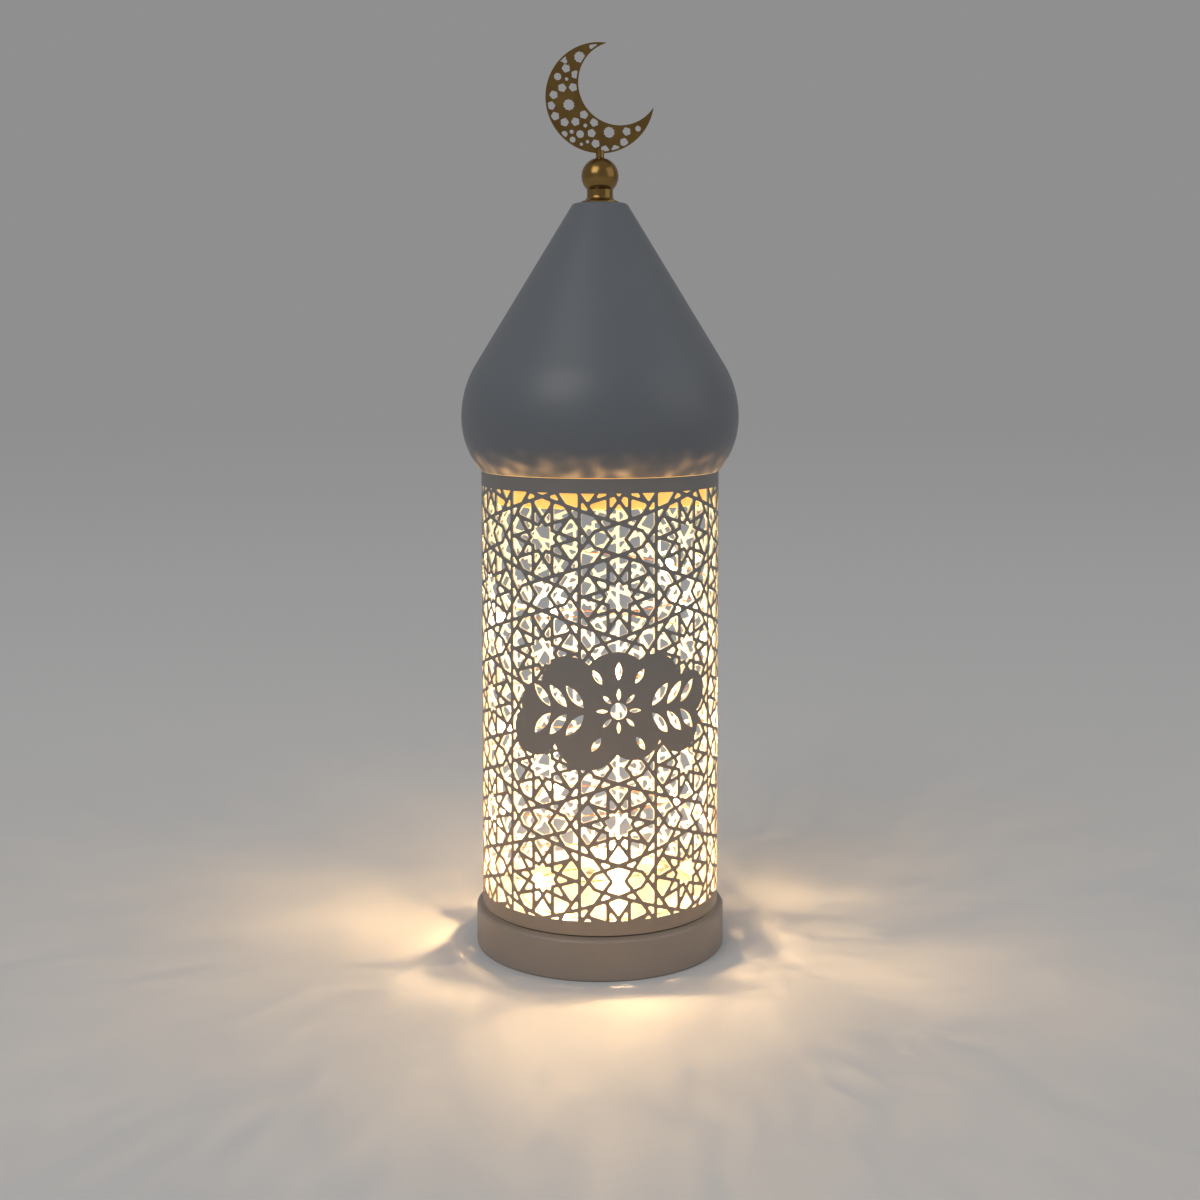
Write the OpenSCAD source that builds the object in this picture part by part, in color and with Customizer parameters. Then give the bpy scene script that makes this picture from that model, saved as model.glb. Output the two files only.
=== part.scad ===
// A free-standing festive lantern: a pierced shade between a round base and an onion dome with a crescent.
// Millimetres, +Z up. The origin is the middle of the base's underside, and the front faces -Y.

/* [Shade] */
// Outside diameter of the shade
shade_d = 120; // [110:1:150]
// Thickness of the shade's sheet
shade_t = 1.2; // [0.8:0.1:1.6]
// Columns of stars round the shade
star_columns = 10; // [10:2:12]
// Stars in a full column
star_rows = 4; // [3:1:5]
// Width of the strands of the lattice
strand_w = 1.3; // [0.9:0.1:1.8]
// Height of the solid band at the top
top_band_h = 7; // [5:0.5:12]
// Height of the solid band at the bottom
bottom_band_h = 9; // [8:0.5:14]

/* [Plaque] */
// Space on each side of the plaque in the three front columns
plaque_gap = 3.55; // [2:0.05:10]
// Height of the solid plaque
plaque_h = 54; // [46:1:60]
// Height of the plaque's middle over the shade's lower edge
plaque_z = 110; // [100:1:118]
// Diameter of the rosette cut in the plaque's middle
rosette_d = 22; // [16:1:28]
// Length of the leaves cut in the plaque
leaf_l = 13; // [10:0.5:15]
// Width of those leaves
leaf_w = 4.2; // [3:0.2:5]

/* [Base] */
// How far the base stands out past the shade
base_ledge = 3; // [2:0.5:12]
// Height of the base pan
base_h = 21.5; // [21:0.5:30]
// Thickness of the pan's sheet
base_t = 1; // [0.8:0.1:1.2]
// Radius of the pan's shoulder
shoulder_r = 2; // [1.5:0.1:3]
// How far the ledge round the shade lies under the deck
ledge_drop = 0.8; // [0.5:0.1:1.5]
// Width of the lip turned in under the pan
lip_w = 3.6; // [2.5:0.1:4.5]

/* [Bottom cover] */
// Thickness of the cover
cover_t = 4; // [4:0.2:5]
// Height of the cover's underside over the table
cover_lift = 0.8; // [0.5:0.1:1]
// Diameter of the spacers that carry the cover
spacer_d = 7; // [6:0.5:8]
// Distance of the spacers' middles from the cover's edge
spacer_inset = 8.1; // [7:0.1:10]

/* [Batteries] */
// Diameter of a cell
cell_d = 14.5; // [14:0.1:14.6]
// Length of a cell with its knob
cell_l = 50.5; // [48:0.5:51]
// Number of cells
cell_count = 3; // [2:1:3]
// Wall of the battery box
box_wall = 1.2; // [1:0.1:1.4]
// Length of a contact spring
spring_l = 5; // [4:0.5:6]
// Thickness of the battery door
door_t = 2; // [1.8:0.1:2.2]
// How far the battery door slides
door_travel = 6; // [6:0.5:7]

/* [Switch] */
// How far the switch slides
switch_travel = 3.5; // [2.5:0.5:4]
// Side of the switch's knob
knob_w = 3.4; // [3:0.2:4]

/* [Lights] */
// Diameter of the light string's wire
wire_d = 0.8; // [0.6:0.1:1]
// Turns of the light string
string_turns = 6; // [5:1:8]
// Number of lights on the string
bead_count = 22; // [16:1:30]
// Diameter of a light's bead
bead_d = 4.4; // [3.6:0.2:4.6]

/* [Dome] */
// How far the dome bulges out past the shade
dome_overhang = 10; // [7:0.5:20]
// Height of the dome
dome_h = 134; // [120:1:150]
// Height of its widest place over the rim
bulge_z = 26.8; // [24:0.2:30]
// How far the dome's rim stands out past the shade
rim_ledge = 0.34; // [0.1:0.02:1]
// Radius of the curve over the widest place
upper_r = 52; // [46:1:56]
// Diameter of the flat top
dome_top_d = 27.2; // [24:0.2:32]
// Thickness of the dome's sheet
dome_t = 1.2; // [0.8:0.1:1.6]
// How far the collar reaches into the shade
collar_drop = 14.7; // [12:0.1:16]
// Thickness of the collar
collar_t = 1; // [0.8:0.1:1.4]
// How far the lid lifts
lid_travel = 60; // [40:5:100]

/* [Finial] */
// Diameter of the foot
foot_d = 18.8; // [16:0.2:22]
// Diameter of the waist over the foot
waist_d = 13.1; // [11:0.1:14]
// Diameter of the ball
ball_d = 18.7; // [17:0.1:21]
// Height of the ball's middle over the dome
ball_z = 13.6; // [12.5:0.1:15]
// Diameter of the neck that holds the crescent
neck_d = 4.2; // [4:0.1:5]
// Diameter of the threaded stud
stud_d = 3; // [2.5:0.1:3.2]

/* [Crescent] */
// Outside diameter of the crescent
crescent_d = 55; // [48:0.5:62]
// Diameter of the circle cut out of it
crescent_cut_d = 41.8; // [38:0.2:43]
// Distance between the two circles' middles
crescent_shift = 12.3; // [11:0.1:13]
// Direction of the opening, up from the right
crescent_turn = 37.2; // [0:0.2:90]
// Thickness of the crescent
crescent_t = 1.6; // [1.2:0.1:2]

/* [Hidden] */
$fn = 96;

// clearance of seated pieces, running clearance of moving ones, and overrun of cuts
fit = 0.1;
run_gap = 0.3;
over = 1;
fine_step = 5;
mm_degree = 180 / PI;

shade_r = shade_d / 2;
shade_in_r = shade_r - shade_t;
base_r = shade_r + base_ledge;
deck_z = base_h;
deck_under_z = base_h - base_t;

// the star pattern: a period is two columns wide, and all its points follow from that
column_turn = 360 / star_columns;
half_period = 2 * PI * shade_r / star_columns;
plaque_w = 3 * half_period - 2 * plaque_gap;
unit = 2 * half_period / (10 + 2 * sqrt(5));
row_pitch = 2 * half_period * tan(36);
ring_r = half_period / 2;
edge_r = half_period / cos(36) / 2;
window_h = (star_rows - 1) * row_pitch + 7.5 * unit;
shade_h = bottom_band_h + window_h + top_band_h;
first_star_z = bottom_band_h + 3.75 * unit;
shade_top_z = deck_z + shade_h;

cover_top_z = cover_lift + cover_t;
cover_r = base_r - lip_w - run_gap;
spacer_at = cover_r - spacer_inset;
spacer_turn = 60;

dome_r = shade_r + dome_overhang;
lid_z = shade_top_z + run_gap;
dome_top_z = lid_z + dome_h;

// the batteries' box in the middle, with the board behind it and the switch before it
cell_gap = 0.3;
plate_t = 0.8;
box_in_l = cell_l + spring_l + plate_t;
box_in_w = cell_count * cell_d + (cell_count + 1) * cell_gap;
board_w = 14;
board_gap = 5.45;
board_y = box_in_w / 2 + box_wall + board_gap + board_w / 2;
switch_gap = 16.45;
switch_y = -(box_in_w / 2 + box_wall + switch_gap);

function polar(r, a) = [r * cos(a), r * sin(a)];
function arc(centre, r, from, to) =
    [for (i = [0 : round(abs(to - from) / fine_step)])
        centre + polar(r, from + (to - from) * i / round(abs(to - from) / fine_step))];
function reversed(points) = [for (i = [len(points) - 1 : -1 : 0]) points[i]];
function moved(points, by) = [for (p = points) p + by];
function turned(points, a) =
    [for (p = points) [p.x * cos(a) - p.y * sin(a), p.x * sin(a) + p.y * cos(a)]];
function left_of(p, q) = [p.y - q.y, q.x - p.x] / norm(q - p);
// pulls every side of an outline in by w
function inset(points, w) =
    let (n = len(points))
    [for (i = [0 : n - 1])
        let (m = left_of(points[(i + n - 1) % n], points[i]), k = left_of(points[i], points[(i + 1) % n]))
        points[i] + w * (m + k) / (1 + m * k)];
function smooth(t) = t <= 0 ? 0 : t >= 1 ? 1 : t * t * (3 - 2 * t);

module ring(outer_r, inner_r, h) {
    difference() {
        cylinder(h = h, r = outer_r);
        translate([0, 0, -over]) cylinder(h = h + 2 * over, r = inner_r);
    }
}

module block(size, at) {
    translate([at.x - size.x / 2, at.y - size.y / 2, at.z]) cube(size);
}

// a tube of the given radius swept along the route, its section set by the outward direction at each point
module tube(route, outward, r, sides) {
    n = len(route);
    rings = [for (i = [0 : n - 1])
        let (along = route[min(i + 1, n - 1)] - route[max(i - 1, 0)],
             t = along / norm(along),
             u = outward[i] - (outward[i] * t) * t,
             side = u / norm(u),
             up = cross(t, side))
        for (k = [0 : sides - 1])
            route[i] + r * (cos(360 * k / sides) * side + sin(360 * k / sides) * up)];
    walls = [for (i = [0 : n - 2], k = [0 : sides - 1])
        let (a = i * sides + k, b = i * sides + (k + 1) % sides)
        each [[a, a + sides, b], [b, a + sides, b + sides]]];
    ends = [for (k = [1 : sides - 2])
        each [[0, k, k + 1], [(n - 1) * sides, (n - 1) * sides + k + 1, (n - 1) * sides + k]]];
    polyhedron(rings, concat(walls, ends));
}

lip_r = base_r - lip_w;
// the shade stands on the deck's edge with part of its thickness, and a shadow gap runs under the rest
seat_share = 0.4;
seat_r = shade_in_r + seat_share * shade_t;
module base_pan() {
    shoulder = [base_r - shoulder_r, base_h - ledge_drop - shoulder_r];
    color("gainsboro") difference() {
        rotate_extrude() polygon(concat(
            [[lip_r, 0]],
            arc([base_r - base_t, base_t], base_t, -90, 0),
            arc(shoulder, shoulder_r, 0, 90),
            [[seat_r, base_h - ledge_drop], [seat_r, base_h], [0, base_h], [0, deck_under_z],
                [seat_r - base_t, deck_under_z], [seat_r - base_t, deck_under_z - ledge_drop]],
            arc(shoulder, shoulder_r - base_t, 90, 0),
            [[base_r - base_t, base_t], [lip_r, base_t]]));
        at_tabs() translate([0, 0, deck_under_z - over]) cylinder(h = base_t + 2 * over, r = tab_hole_r);
        at_grommet() translate([0, 0, deck_under_z - over])
            cylinder(h = base_t + 2 * over, r = grommet_neck_r + fit);
    }
}

// outlines of the openings round a star
star = [for (k = [0 : 9]) each [polar(unit / cos(36), 36 * k), polar(unit / cos(54), 36 * k + 18)]];
petal_side = (unit / cos(54) + unit * tan(54) + ring_r / cos(18) - unit * tan(18)) / 2;
petal = [[unit / cos(54), 0], [petal_side, -unit], [ring_r / cos(18), 0], [petal_side, unit]];
// and halfway between two stars of a column
crossing = polar(edge_r, -72) + [0, row_pitch / 2];
waist = [crossing.x - crossing.y / tan(54), 0];
peak = [0, row_pitch / 2 - ring_r / cos(18)];
hourglass = [waist, crossing, peak, [-crossing.x, crossing.y],
    -waist, -crossing, -peak, [crossing.x, -crossing.y]];
openings = [for (o = concat([star], [for (k = [0 : 9]) turned(petal, 36 * k + 18)],
    [moved(hourglass, [0, row_pitch / 2])])) inset(o, strand_w / 2)];

// the plaque's outline as lobes: middle and radius as shares of its half width and half height
lobe_shares = [[-0.79, -0.37, 0.43], [-0.72, 0.07, 0.41], [-0.45, 0.41, 0.5], [-0.02, 0.41, 0.59],
    [0.34, 0.41, 0.54], [0.77, 0.3, 0.46], [0.62, -0.33, 0.46], [0.15, -0.35, 0.49], [-0.28, -0.41, 0.59]];
plaque_core_shares = [0.75, 0.45];

module plaque_outline() {
    for (s = lobe_shares) translate([s.x * plaque_w / 2, s.y * plaque_h / 2]) circle(r = s.z * plaque_h / 2);
    square([plaque_core_shares.x * plaque_w, plaque_core_shares.y * plaque_h], center = true);
}

// a cut through the sheet, straight along the radius at its own middle
module through_sheet(turn, z) {
    rotate([0, 0, turn - 90]) translate([shade_in_r * cos(column_turn / 2) - over, 0, z])
        rotate([90, 0, 90]) linear_extrude(shade_r - shade_in_r * cos(column_turn / 2) + 2 * over) children();
}

// keeps the part of an outline above z, or below it where way is -1
function kept(points, z, way) =
    let (n = len(points))
    [for (i = [0 : n - 1])
        let (p = points[i], q = points[(i + 1) % n],
             p_in = way * (p.y - z) >= 0, q_in = way * (q.y - z) >= 0)
        each concat(p_in ? [p] : [], p_in != q_in ? [p + (q - p) * (z - p.y) / (q.y - p.y)] : [])];

module opening(outline, turn, z) {
    whole = moved(outline, [0, z]);
    top_edge = shade_h - top_band_h;
    above = min([for (p = whole) p.y]) < bottom_band_h ? kept(whole, bottom_band_h, 1) : whole;
    shown = max([for (p = whole) p.y]) > top_edge ? kept(above, top_edge, -1) : above;
    if (len(shown) > 2)
        let (low = [min([for (p = shown) p.x]), min([for (p = shown) p.y])],
             high = [max([for (p = shown) p.x]), max([for (p = shown) p.y])],
             middle = (low + high) / 2)
        if (high.y - low.y > strand_w)
            through_sheet(turn + middle.x / shade_r * mm_degree, middle.y) polygon(moved(shown, -middle));
}

module column_openings(column) {
    shift = column % 2 == 0 ? 1 / 2 : 0;
    for (row = [-ceil(shift) : star_rows - 1], o = openings)
        opening(o, column * column_turn, first_star_z + (row + shift) * row_pitch);
}

// leaves and a rosette, cut in the solid plaque
leaf_bend_r = leaf_l * leaf_l / leaf_w / 4 + leaf_w / 4;
leaf_half_turn = asin(leaf_l / 2 / leaf_bend_r);
leaf = [for (side = [0, 1], i = [0 : 3])
    let (p = polar(leaf_bend_r, 90 + leaf_half_turn * (1 - i / 2)) - [0, leaf_bend_r - leaf_w / 2])
    turned([p], 180 * side)[0]];
leaf_turn = 50;
leaf_start = rosette_d / 2 + 3 * strand_w;
leaf_step = (plaque_w / 2 - leaf_start) / 4;
rosette_petal_share = 0.42;
module plaque_cuts() {
    opening([for (k = [0 : 11]) polar(rosette_d / 6, 30 * k)], 0, plaque_z);
    for (k = [0 : 7])
        opening(moved(turned(leaf * rosette_petal_share, 45 * k), polar(rosette_d / 3, 45 * k)), 0, plaque_z);
    for (side = [-1, 1], i = [0 : 2], way = [-1, 1])
        let (a = side > 0 ? way * leaf_turn : 180 - way * leaf_turn,
             stem = [side * (leaf_start + i * leaf_step), way * strand_w])
        opening(moved(turned(leaf, a), stem + polar(leaf_l / 2, a)), 0, plaque_z);
}
module lattice_shade() {
    // made column by column; each laps its neighbours inside the strand between them
    lap_turn = strand_w / 4 / shade_r * mm_degree;
    color("gainsboro") translate([0, 0, deck_z]) for (column = [0 : star_columns - 1])
        let (from_front = column > star_columns / 2 ? column - star_columns : column)
        difference() {
            rotate_extrude(angle = column_turn + 2 * lap_turn,
                start = (column - 1 / 2) * column_turn - 90 - lap_turn)
                translate([shade_in_r, 0]) square([shade_t, shade_h]);
            if (abs(from_front) > 1) column_openings(column);
            else difference() {
                column_openings(column);
                through_sheet(column * column_turn, plaque_z)
                    translate([-from_front * half_period, 0]) plaque_outline();
            }
            if (abs(from_front) < 2) plaque_cuts();
        }
}

// tabs inside the shade's lower edge, screwed to the pan's deck
tab_count = 4;
tab_h = 6;
tab_t = 1;
tab_foot_l = 8;
tab_turn = 10;
tab_hole_r = 1.5;
tab_hole_at = shade_in_r - tab_foot_l / 2 - tab_t;
tab_head_r = 2.7;
tab_head_h = 1.6;
tab_screw_l = 5;

module at_tabs() {
    for (k = [0 : tab_count - 1]) rotate([0, 0, (k + 1 / 2) * 360 / tab_count])
        translate([tab_hole_at, 0, 0]) children();
}

module shade_tabs() {
    color("silver") difference() {
        for (k = [0 : tab_count - 1]) rotate([0, 0, (k + 1 / 2) * 360 / tab_count - tab_turn / 2])
            rotate_extrude(angle = tab_turn) translate([shade_in_r - fit, deck_z])
            polygon([[0, 0], [0, tab_h], [-tab_t, tab_h], [-tab_t, tab_t],
                [-tab_foot_l, tab_t], [-tab_foot_l, 0]]);
        at_tabs() translate([0, 0, deck_z - over]) cylinder(h = tab_t + 2 * over, r = tab_hole_r);
    }
}

module tab_screws() {
    color("silver") at_tabs() {
        translate([0, 0, deck_z + tab_t]) cylinder(h = tab_head_h, r = tab_head_r);
        translate([0, 0, deck_z + tab_t - tab_screw_l]) cylinder(h = tab_screw_l, r = tab_hole_r - fit);
    }
}

// the light string leaves the board, comes up through a grommet, runs round the deck and climbs the shade
bead_r = bead_d / 2;
wire_r = wire_d / 2;
bend_r = 2;
string_y = board_y + bend_r;
grommet_neck_r = 2.6;
grommet_flange_r = 3.8;
grommet_flange_t = 1;
grommet_bore_r = wire_r + 3 * fit;
string_low_z = deck_z + run_gap + bead_r;
string_top_share = 0.78;
string_top_z = deck_z + shade_h * string_top_share;
string_wall_r = shade_in_r - run_gap - bead_r;
rings_per_turn = 24;
climb_from = 3 / 4;
spread_turns = 1.3;

module at_grommet() { translate([bend_r, string_y, 0]) children(); }

module wire_grommet() {
    color("dimgray") at_grommet() translate([0, 0, deck_under_z]) rotate_extrude() polygon([
        [grommet_bore_r, -grommet_flange_t], [grommet_flange_r, -grommet_flange_t], [grommet_flange_r, 0],
        [grommet_neck_r, 0], [grommet_neck_r, base_t], [grommet_flange_r, base_t],
        [grommet_neck_r, base_t + grommet_flange_t], [grommet_bore_r, base_t + grommet_flange_t]]);
}

function string_r(u) = string_y + (string_wall_r - string_y) * smooth(u / spread_turns);
function string_z(u) = string_low_z
    + (string_top_z - string_low_z) * max(0, u - climb_from) / (string_turns - climb_from);
function string_at(u) = [string_r(u) * cos(90 + 360 * u), string_r(u) * sin(90 + 360 * u), string_z(u)];
function string_out(u) = [cos(90 + 360 * u), sin(90 + 360 * u), 0];

module light_wire() {
    bend = [for (a = [0 : 30 : 60])
        [bend_r * cos(a), string_y, string_low_z - bend_r + bend_r * sin(a)]];
    turns = [for (i = [0 : string_turns * rings_per_turn]) i / rings_per_turn];
    route = concat([[bend_r, string_y, board_top_z + fit]], bend, [for (u = turns) string_at(u)]);
    outward = concat([for (i = [0 : len(bend)]) [0, 1, 0]], [for (u = turns) string_out(u)]);
    color("peru") tube(route, outward, wire_r, 6);
}

module light_beads() {
    color("lemonchiffon") for (k = [1 : bead_count])
        translate(string_at(string_turns * (k - 1 / 2) / bead_count)) sphere(r = bead_r, $fn = 32);
}

// the cover hangs on spacers under the deck and leaves room for the battery door to slide
spacer_hole_r = 1.6;
spacer_bore_l = 10;
screw_head_r = 2.8;
screw_head_h = 1.3;
screw_pocket_h = 1.7;
screw_l = 11;
door_lap = 2;
tongue_l = 6;
tongue_w = 1.6;
tongue_t = 0.8;
lip_t = 0.9;
post_h = 4;
post_r = 2;
board_l = 26;
board_t = 1.2;
board_z = cover_top_z + post_h;
board_top_z = board_z + board_t;

door_l = box_in_l + 2 * door_lap;
door_w = box_in_w + 2 * door_lap;
door_top_z = cover_lift + door_t;
cell_axis_z = door_top_z + 2 * run_gap + cell_d / 2;
box_ceiling_z = cell_axis_z + cell_d / 2 + cell_gap;
// places of the door's tongues along its sides, as shares of its half length
tongue_shares = [-0.55, 0.3];

module at_spacers() {
    for (side = [0, 180], way = [-1, 1]) rotate([0, 0, side + way * spacer_turn])
        translate([spacer_at, 0, 0]) children();
}

module cover_spacers() {
    color("silver") at_spacers() translate([0, 0, cover_top_z]) difference() {
        cylinder(h = deck_under_z - cover_top_z, d = spacer_d);
        translate([0, 0, -over]) cylinder(h = spacer_bore_l + over, r = spacer_hole_r);
    }
}

module cover_screws() {
    color("silver") at_spacers() {
        translate([0, 0, cover_lift + screw_pocket_h - screw_head_h])
            cylinder(h = screw_head_h, r = screw_head_r);
        translate([0, 0, cover_lift + screw_pocket_h])
            cylinder(h = screw_l - screw_pocket_h, r = spacer_hole_r - fit);
    }
}

module bottom_cover() {
    color("whitesmoke") difference() {
        union() {
            translate([0, 0, cover_lift]) cylinder(h = cover_t, r = cover_r);
            for (side = [-1, 1]) translate([side * (board_l / 2 - 2 * post_r), board_y, cover_top_z])
                cylinder(h = post_h, r = post_r);
        }
        at_spacers() translate([0, 0, cover_lift - over]) {
            cylinder(h = cover_t + 2 * over, r = spacer_hole_r);
            cylinder(h = screw_pocket_h + over, r = screw_head_r + fit);
        }
        block([box_in_l, box_in_w, cover_t + 2 * over], [0, 0, cover_lift - over]);
        // the door's bed, the grooves of its tongues and the notches where they drop out
        block([door_l + 2 * run_gap + door_travel, door_w + 2 * run_gap, door_t + run_gap + over],
            [door_travel / 2, 0, cover_lift - over]);
        for (s = tongue_shares) let (x = s * door_l / 2) {
            groove_w = door_w + 2 * (tongue_w + run_gap);
            block([tongue_l + 2 * run_gap + door_travel, groove_w, tongue_t + 2 * run_gap],
                [x + door_travel / 2, 0, door_top_z - tongue_t - run_gap]);
            block([tongue_l + 2 * run_gap, groove_w, door_t + over],
                [x + door_travel, 0, cover_lift - over]);
        }
        block([knob_w + switch_travel + 2 * run_gap, knob_w + 2 * run_gap, cover_t + 2 * over],
            [0, switch_y, cover_lift - over]);
    }
}

grip_w = 1.2;
grip_l = 14;
grip_count = 4;
module battery_door() {
    color("whitesmoke") difference() {
        union() {
            block([door_l, door_w, door_t], [0, 0, cover_lift]);
            for (s = tongue_shares)
                block([tongue_l, door_w + 2 * tongue_w, tongue_t],
                    [s * door_l / 2, 0, door_top_z - tongue_t]);
        }
        for (i = [0 : grip_count - 1])
            block([grip_w, grip_l, grip_w / 2 + over],
                [door_l / 2 - 2 * grip_w * (i + 2), 0, cover_lift - over]);
    }
}

module battery_box() {
    color("dimgray") difference() {
        block([box_in_l + 2 * box_wall, box_in_w + 2 * box_wall, box_ceiling_z + box_wall - cover_top_z],
            [0, 0, cover_top_z]);
        block([box_in_l, box_in_w, box_ceiling_z - cover_top_z + over], [0, 0, cover_top_z - over]);
    }
}

// each cell lies the other way round from its neighbour, its knob at the plate and its flat end at the spring
knob_d = 5.5;
knob_l = 1.2;
contact_w = 9;
spring_wire_r = 0.35;
spring_turns = 3;
spring_wide_r = 4.4;
spring_small_r = 2.4;
function cell_y(k) = (k - (cell_count - 1) / 2) * (cell_d + cell_gap);
function cell_way(k) = k % 2 == 0 ? 1 : -1;

module at_cells() {
    for (k = [0 : cell_count - 1]) translate([0, cell_y(k), cell_axis_z])
        rotate([0, 0, cell_way(k) > 0 ? 0 : 180]) children();
}

module battery_cells() {
    color("darkslategray") at_cells() translate([box_in_l / 2 - plate_t - cell_l, 0, 0]) rotate([0, 90, 0]) {
        cylinder(h = cell_l - knob_l, d = cell_d);
        cylinder(h = cell_l, d = knob_d);
    }
}

module contact_plates() {
    color("silver") at_cells() translate([box_in_l / 2 - plate_t, -contact_w / 2, -contact_w / 2])
        cube([plate_t, contact_w, contact_w]);
}

module contact_springs() {
    rings = spring_turns * 8;
    route_l = spring_l - 2 * spring_wire_r;
    places = [for (i = [0 : rings])
        let (s = i / rings, r = spring_wide_r + (spring_small_r - spring_wide_r) * s)
        [-box_in_l / 2 + spring_wire_r + route_l * s, r * cos(45 * i), r * sin(45 * i)]];
    color("silver") at_cells() tube(places, [for (p = places) [0, p.y, p.z]], spring_wire_r, 5);
}

chip_l = 6;
chip_w = 5;
chip_h = 1.6;
module driver_board() {
    color("darkgreen") {
        block([board_l, board_w, board_t], [0, board_y, board_z]);
        block([chip_l, chip_w, chip_h], [-board_l / 4, board_y, board_top_z]);
        translate([board_l / 3, board_y - board_w / 4, board_top_z]) cylinder(h = chip_h, r = chip_w / 3);
    }
}

slider_l = 6;
slider_w = 5;
slider_t = 1.4;
switch_wall = 1;
pin_r = 0.4;
pin_h = 2.5;
knob_out = 0.4;
cavity_l = slider_l + switch_travel + 2 * run_gap;
cavity_w = slider_w + 2 * run_gap;
cavity_h = slider_t + 2 * run_gap;
module switch_body() {
    color("silver") translate([0, switch_y, cover_top_z]) {
        difference() {
            block([cavity_l, cavity_w, cavity_h] + 2 * switch_wall * [1, 1, 1], [0, 0, 0]);
            block([cavity_l, cavity_w, cavity_h + over], [0, 0, -over]);
        }
        for (i = [-1 : 1]) translate([i * cavity_l / 3, 0, cavity_h + 2 * switch_wall])
            cylinder(h = pin_h, r = pin_r, $fn = 24);
    }
}

module switch_slider() {
    color("black") translate([-switch_travel / 2, switch_y, 0]) {
        block([slider_l, slider_w, slider_t], [0, 0, cover_top_z + run_gap]);
        block([knob_w, knob_w, cover_top_z + run_gap - cover_lift + knob_out], [0, 0, cover_lift - knob_out]);
    }
}

// the dome's side: a round bulge over the rim, a straight cone, and a flat top with a rounded edge
rim_in = dome_overhang - rim_ledge;
lower_r = (bulge_z * bulge_z + rim_in * rim_in) / rim_in / 2;
dome_top_r = dome_top_d / 2;
dome_edge_r = 2.4;
stud_hole_r = stud_d / 2 + fit;
lower_middle = [dome_r - lower_r, bulge_z];
upper_middle = [dome_r - upper_r, bulge_z];
to_top = [dome_top_r, dome_h] - upper_middle;
lean = atan2(to_top.y, to_top.x) - acos(upper_r / norm(to_top));
edge_z = dome_h - dome_edge_r;
edge_middle = [upper_middle.x + (upper_r - dome_edge_r - sin(lean) * (edge_z - bulge_z)) / cos(lean), edge_z];
function dome_side(inside) = concat(
    arc(lower_middle, lower_r - inside, -asin(bulge_z / (lower_r - inside)), 0),
    arc(upper_middle, upper_r - inside, fine_step, lean),
    arc(edge_middle, dome_edge_r - inside, lean, 90));

module dome_shell() {
    color("gainsboro") translate([0, 0, lid_z]) rotate_extrude($fn = 144) polygon(concat(
        dome_side(0), [[stud_hole_r, dome_h], [stud_hole_r, dome_h - dome_t]], reversed(dome_side(dome_t))));
}

// the collar drops into the shade, and its flared rim snaps in behind the dome's edge
collar_r = shade_in_r - run_gap;
flare_r = lower_r - dome_t - fit;
flare_turn = 33;
function collar_side(inside) =
    let (r = flare_r - inside, start = acos((collar_r - inside - lower_middle.x) / r))
    concat([[collar_r - inside, -run_gap - collar_drop]], arc(lower_middle, r, -start, -flare_turn));

module dome_collar() {
    color("moccasin") translate([0, 0, lid_z]) rotate_extrude($fn = 144)
        polygon(concat(collar_side(0), reversed(collar_side(collar_t))));
}

// the finial is threaded on one stud: foot, ball and neck, with the crescent held in the neck's slot
ball_r = ball_d / 2;
foot_r = foot_d / 2;
waist_r = waist_d / 2;
foot_edge_h = 1;
neck_r = neck_d / 2;
neck_h = 2.1;
neck_grip = 1.5;
stud_below = 9;
stud_in_ball = 2;
crescent_low_z = ball_z + ball_r + neck_h;
neck_low_z = ball_z + ball_r * 3 / 4;

module finial_foot() {
    flare = foot_r - waist_r;
    color("goldenrod") translate([0, 0, dome_top_z]) rotate_extrude() difference() {
        polygon(concat([[stud_hole_r, 0], [foot_r, 0]],
            arc([foot_r, foot_edge_h + flare], flare, -90, -180),
            [[waist_r, ball_z], [stud_hole_r, ball_z]]));
        translate([0, ball_z]) circle(r = ball_r + fit);
    }
}

module finial_ball() {
    color("goldenrod") translate([0, 0, dome_top_z + ball_z]) rotate_extrude() difference() {
        circle(r = ball_r);
        translate([-ball_r, -ball_r]) square([ball_r + stud_hole_r, 2 * ball_r]);
    }
}

module finial_neck() {
    color("goldenrod") translate([0, 0, dome_top_z]) difference() {
        union() {
            rotate_extrude() difference() {
                translate([0, neck_low_z]) square([neck_r, crescent_low_z + neck_grip - neck_low_z]);
                translate([0, ball_z]) circle(r = ball_r + fit);
            }
            translate([0, 0, neck_low_z])
                cylinder(h = crescent_low_z - fit - neck_low_z, r = stud_hole_r - fit);
        }
        block([neck_d + 2 * over, crescent_t + 2 * fit, neck_grip + over], [0, 0, crescent_low_z - fit]);
    }
}

module finial_stud() {
    color("silver") translate([0, 0, dome_top_z - stud_below])
        cylinder(h = stud_below + ball_z + stud_in_ball, r = stud_hole_r - fit);
}

washer_r = 7;
washer_t = 1;
nut_r = 3.4;
nut_h = 3;
module stud_washer() {
    color("silver") translate([0, 0, dome_top_z - dome_t - washer_t]) ring(washer_r, stud_hole_r, washer_t);
}

module stud_nut() {
    color("silver") translate([0, 0, dome_top_z - dome_t - washer_t - nut_h]) difference() {
        cylinder(h = nut_h, r = nut_r, $fn = 6);
        translate([0, 0, -over]) cylinder(h = nut_h + 2 * over, r = stud_hole_r);
    }
}

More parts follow.
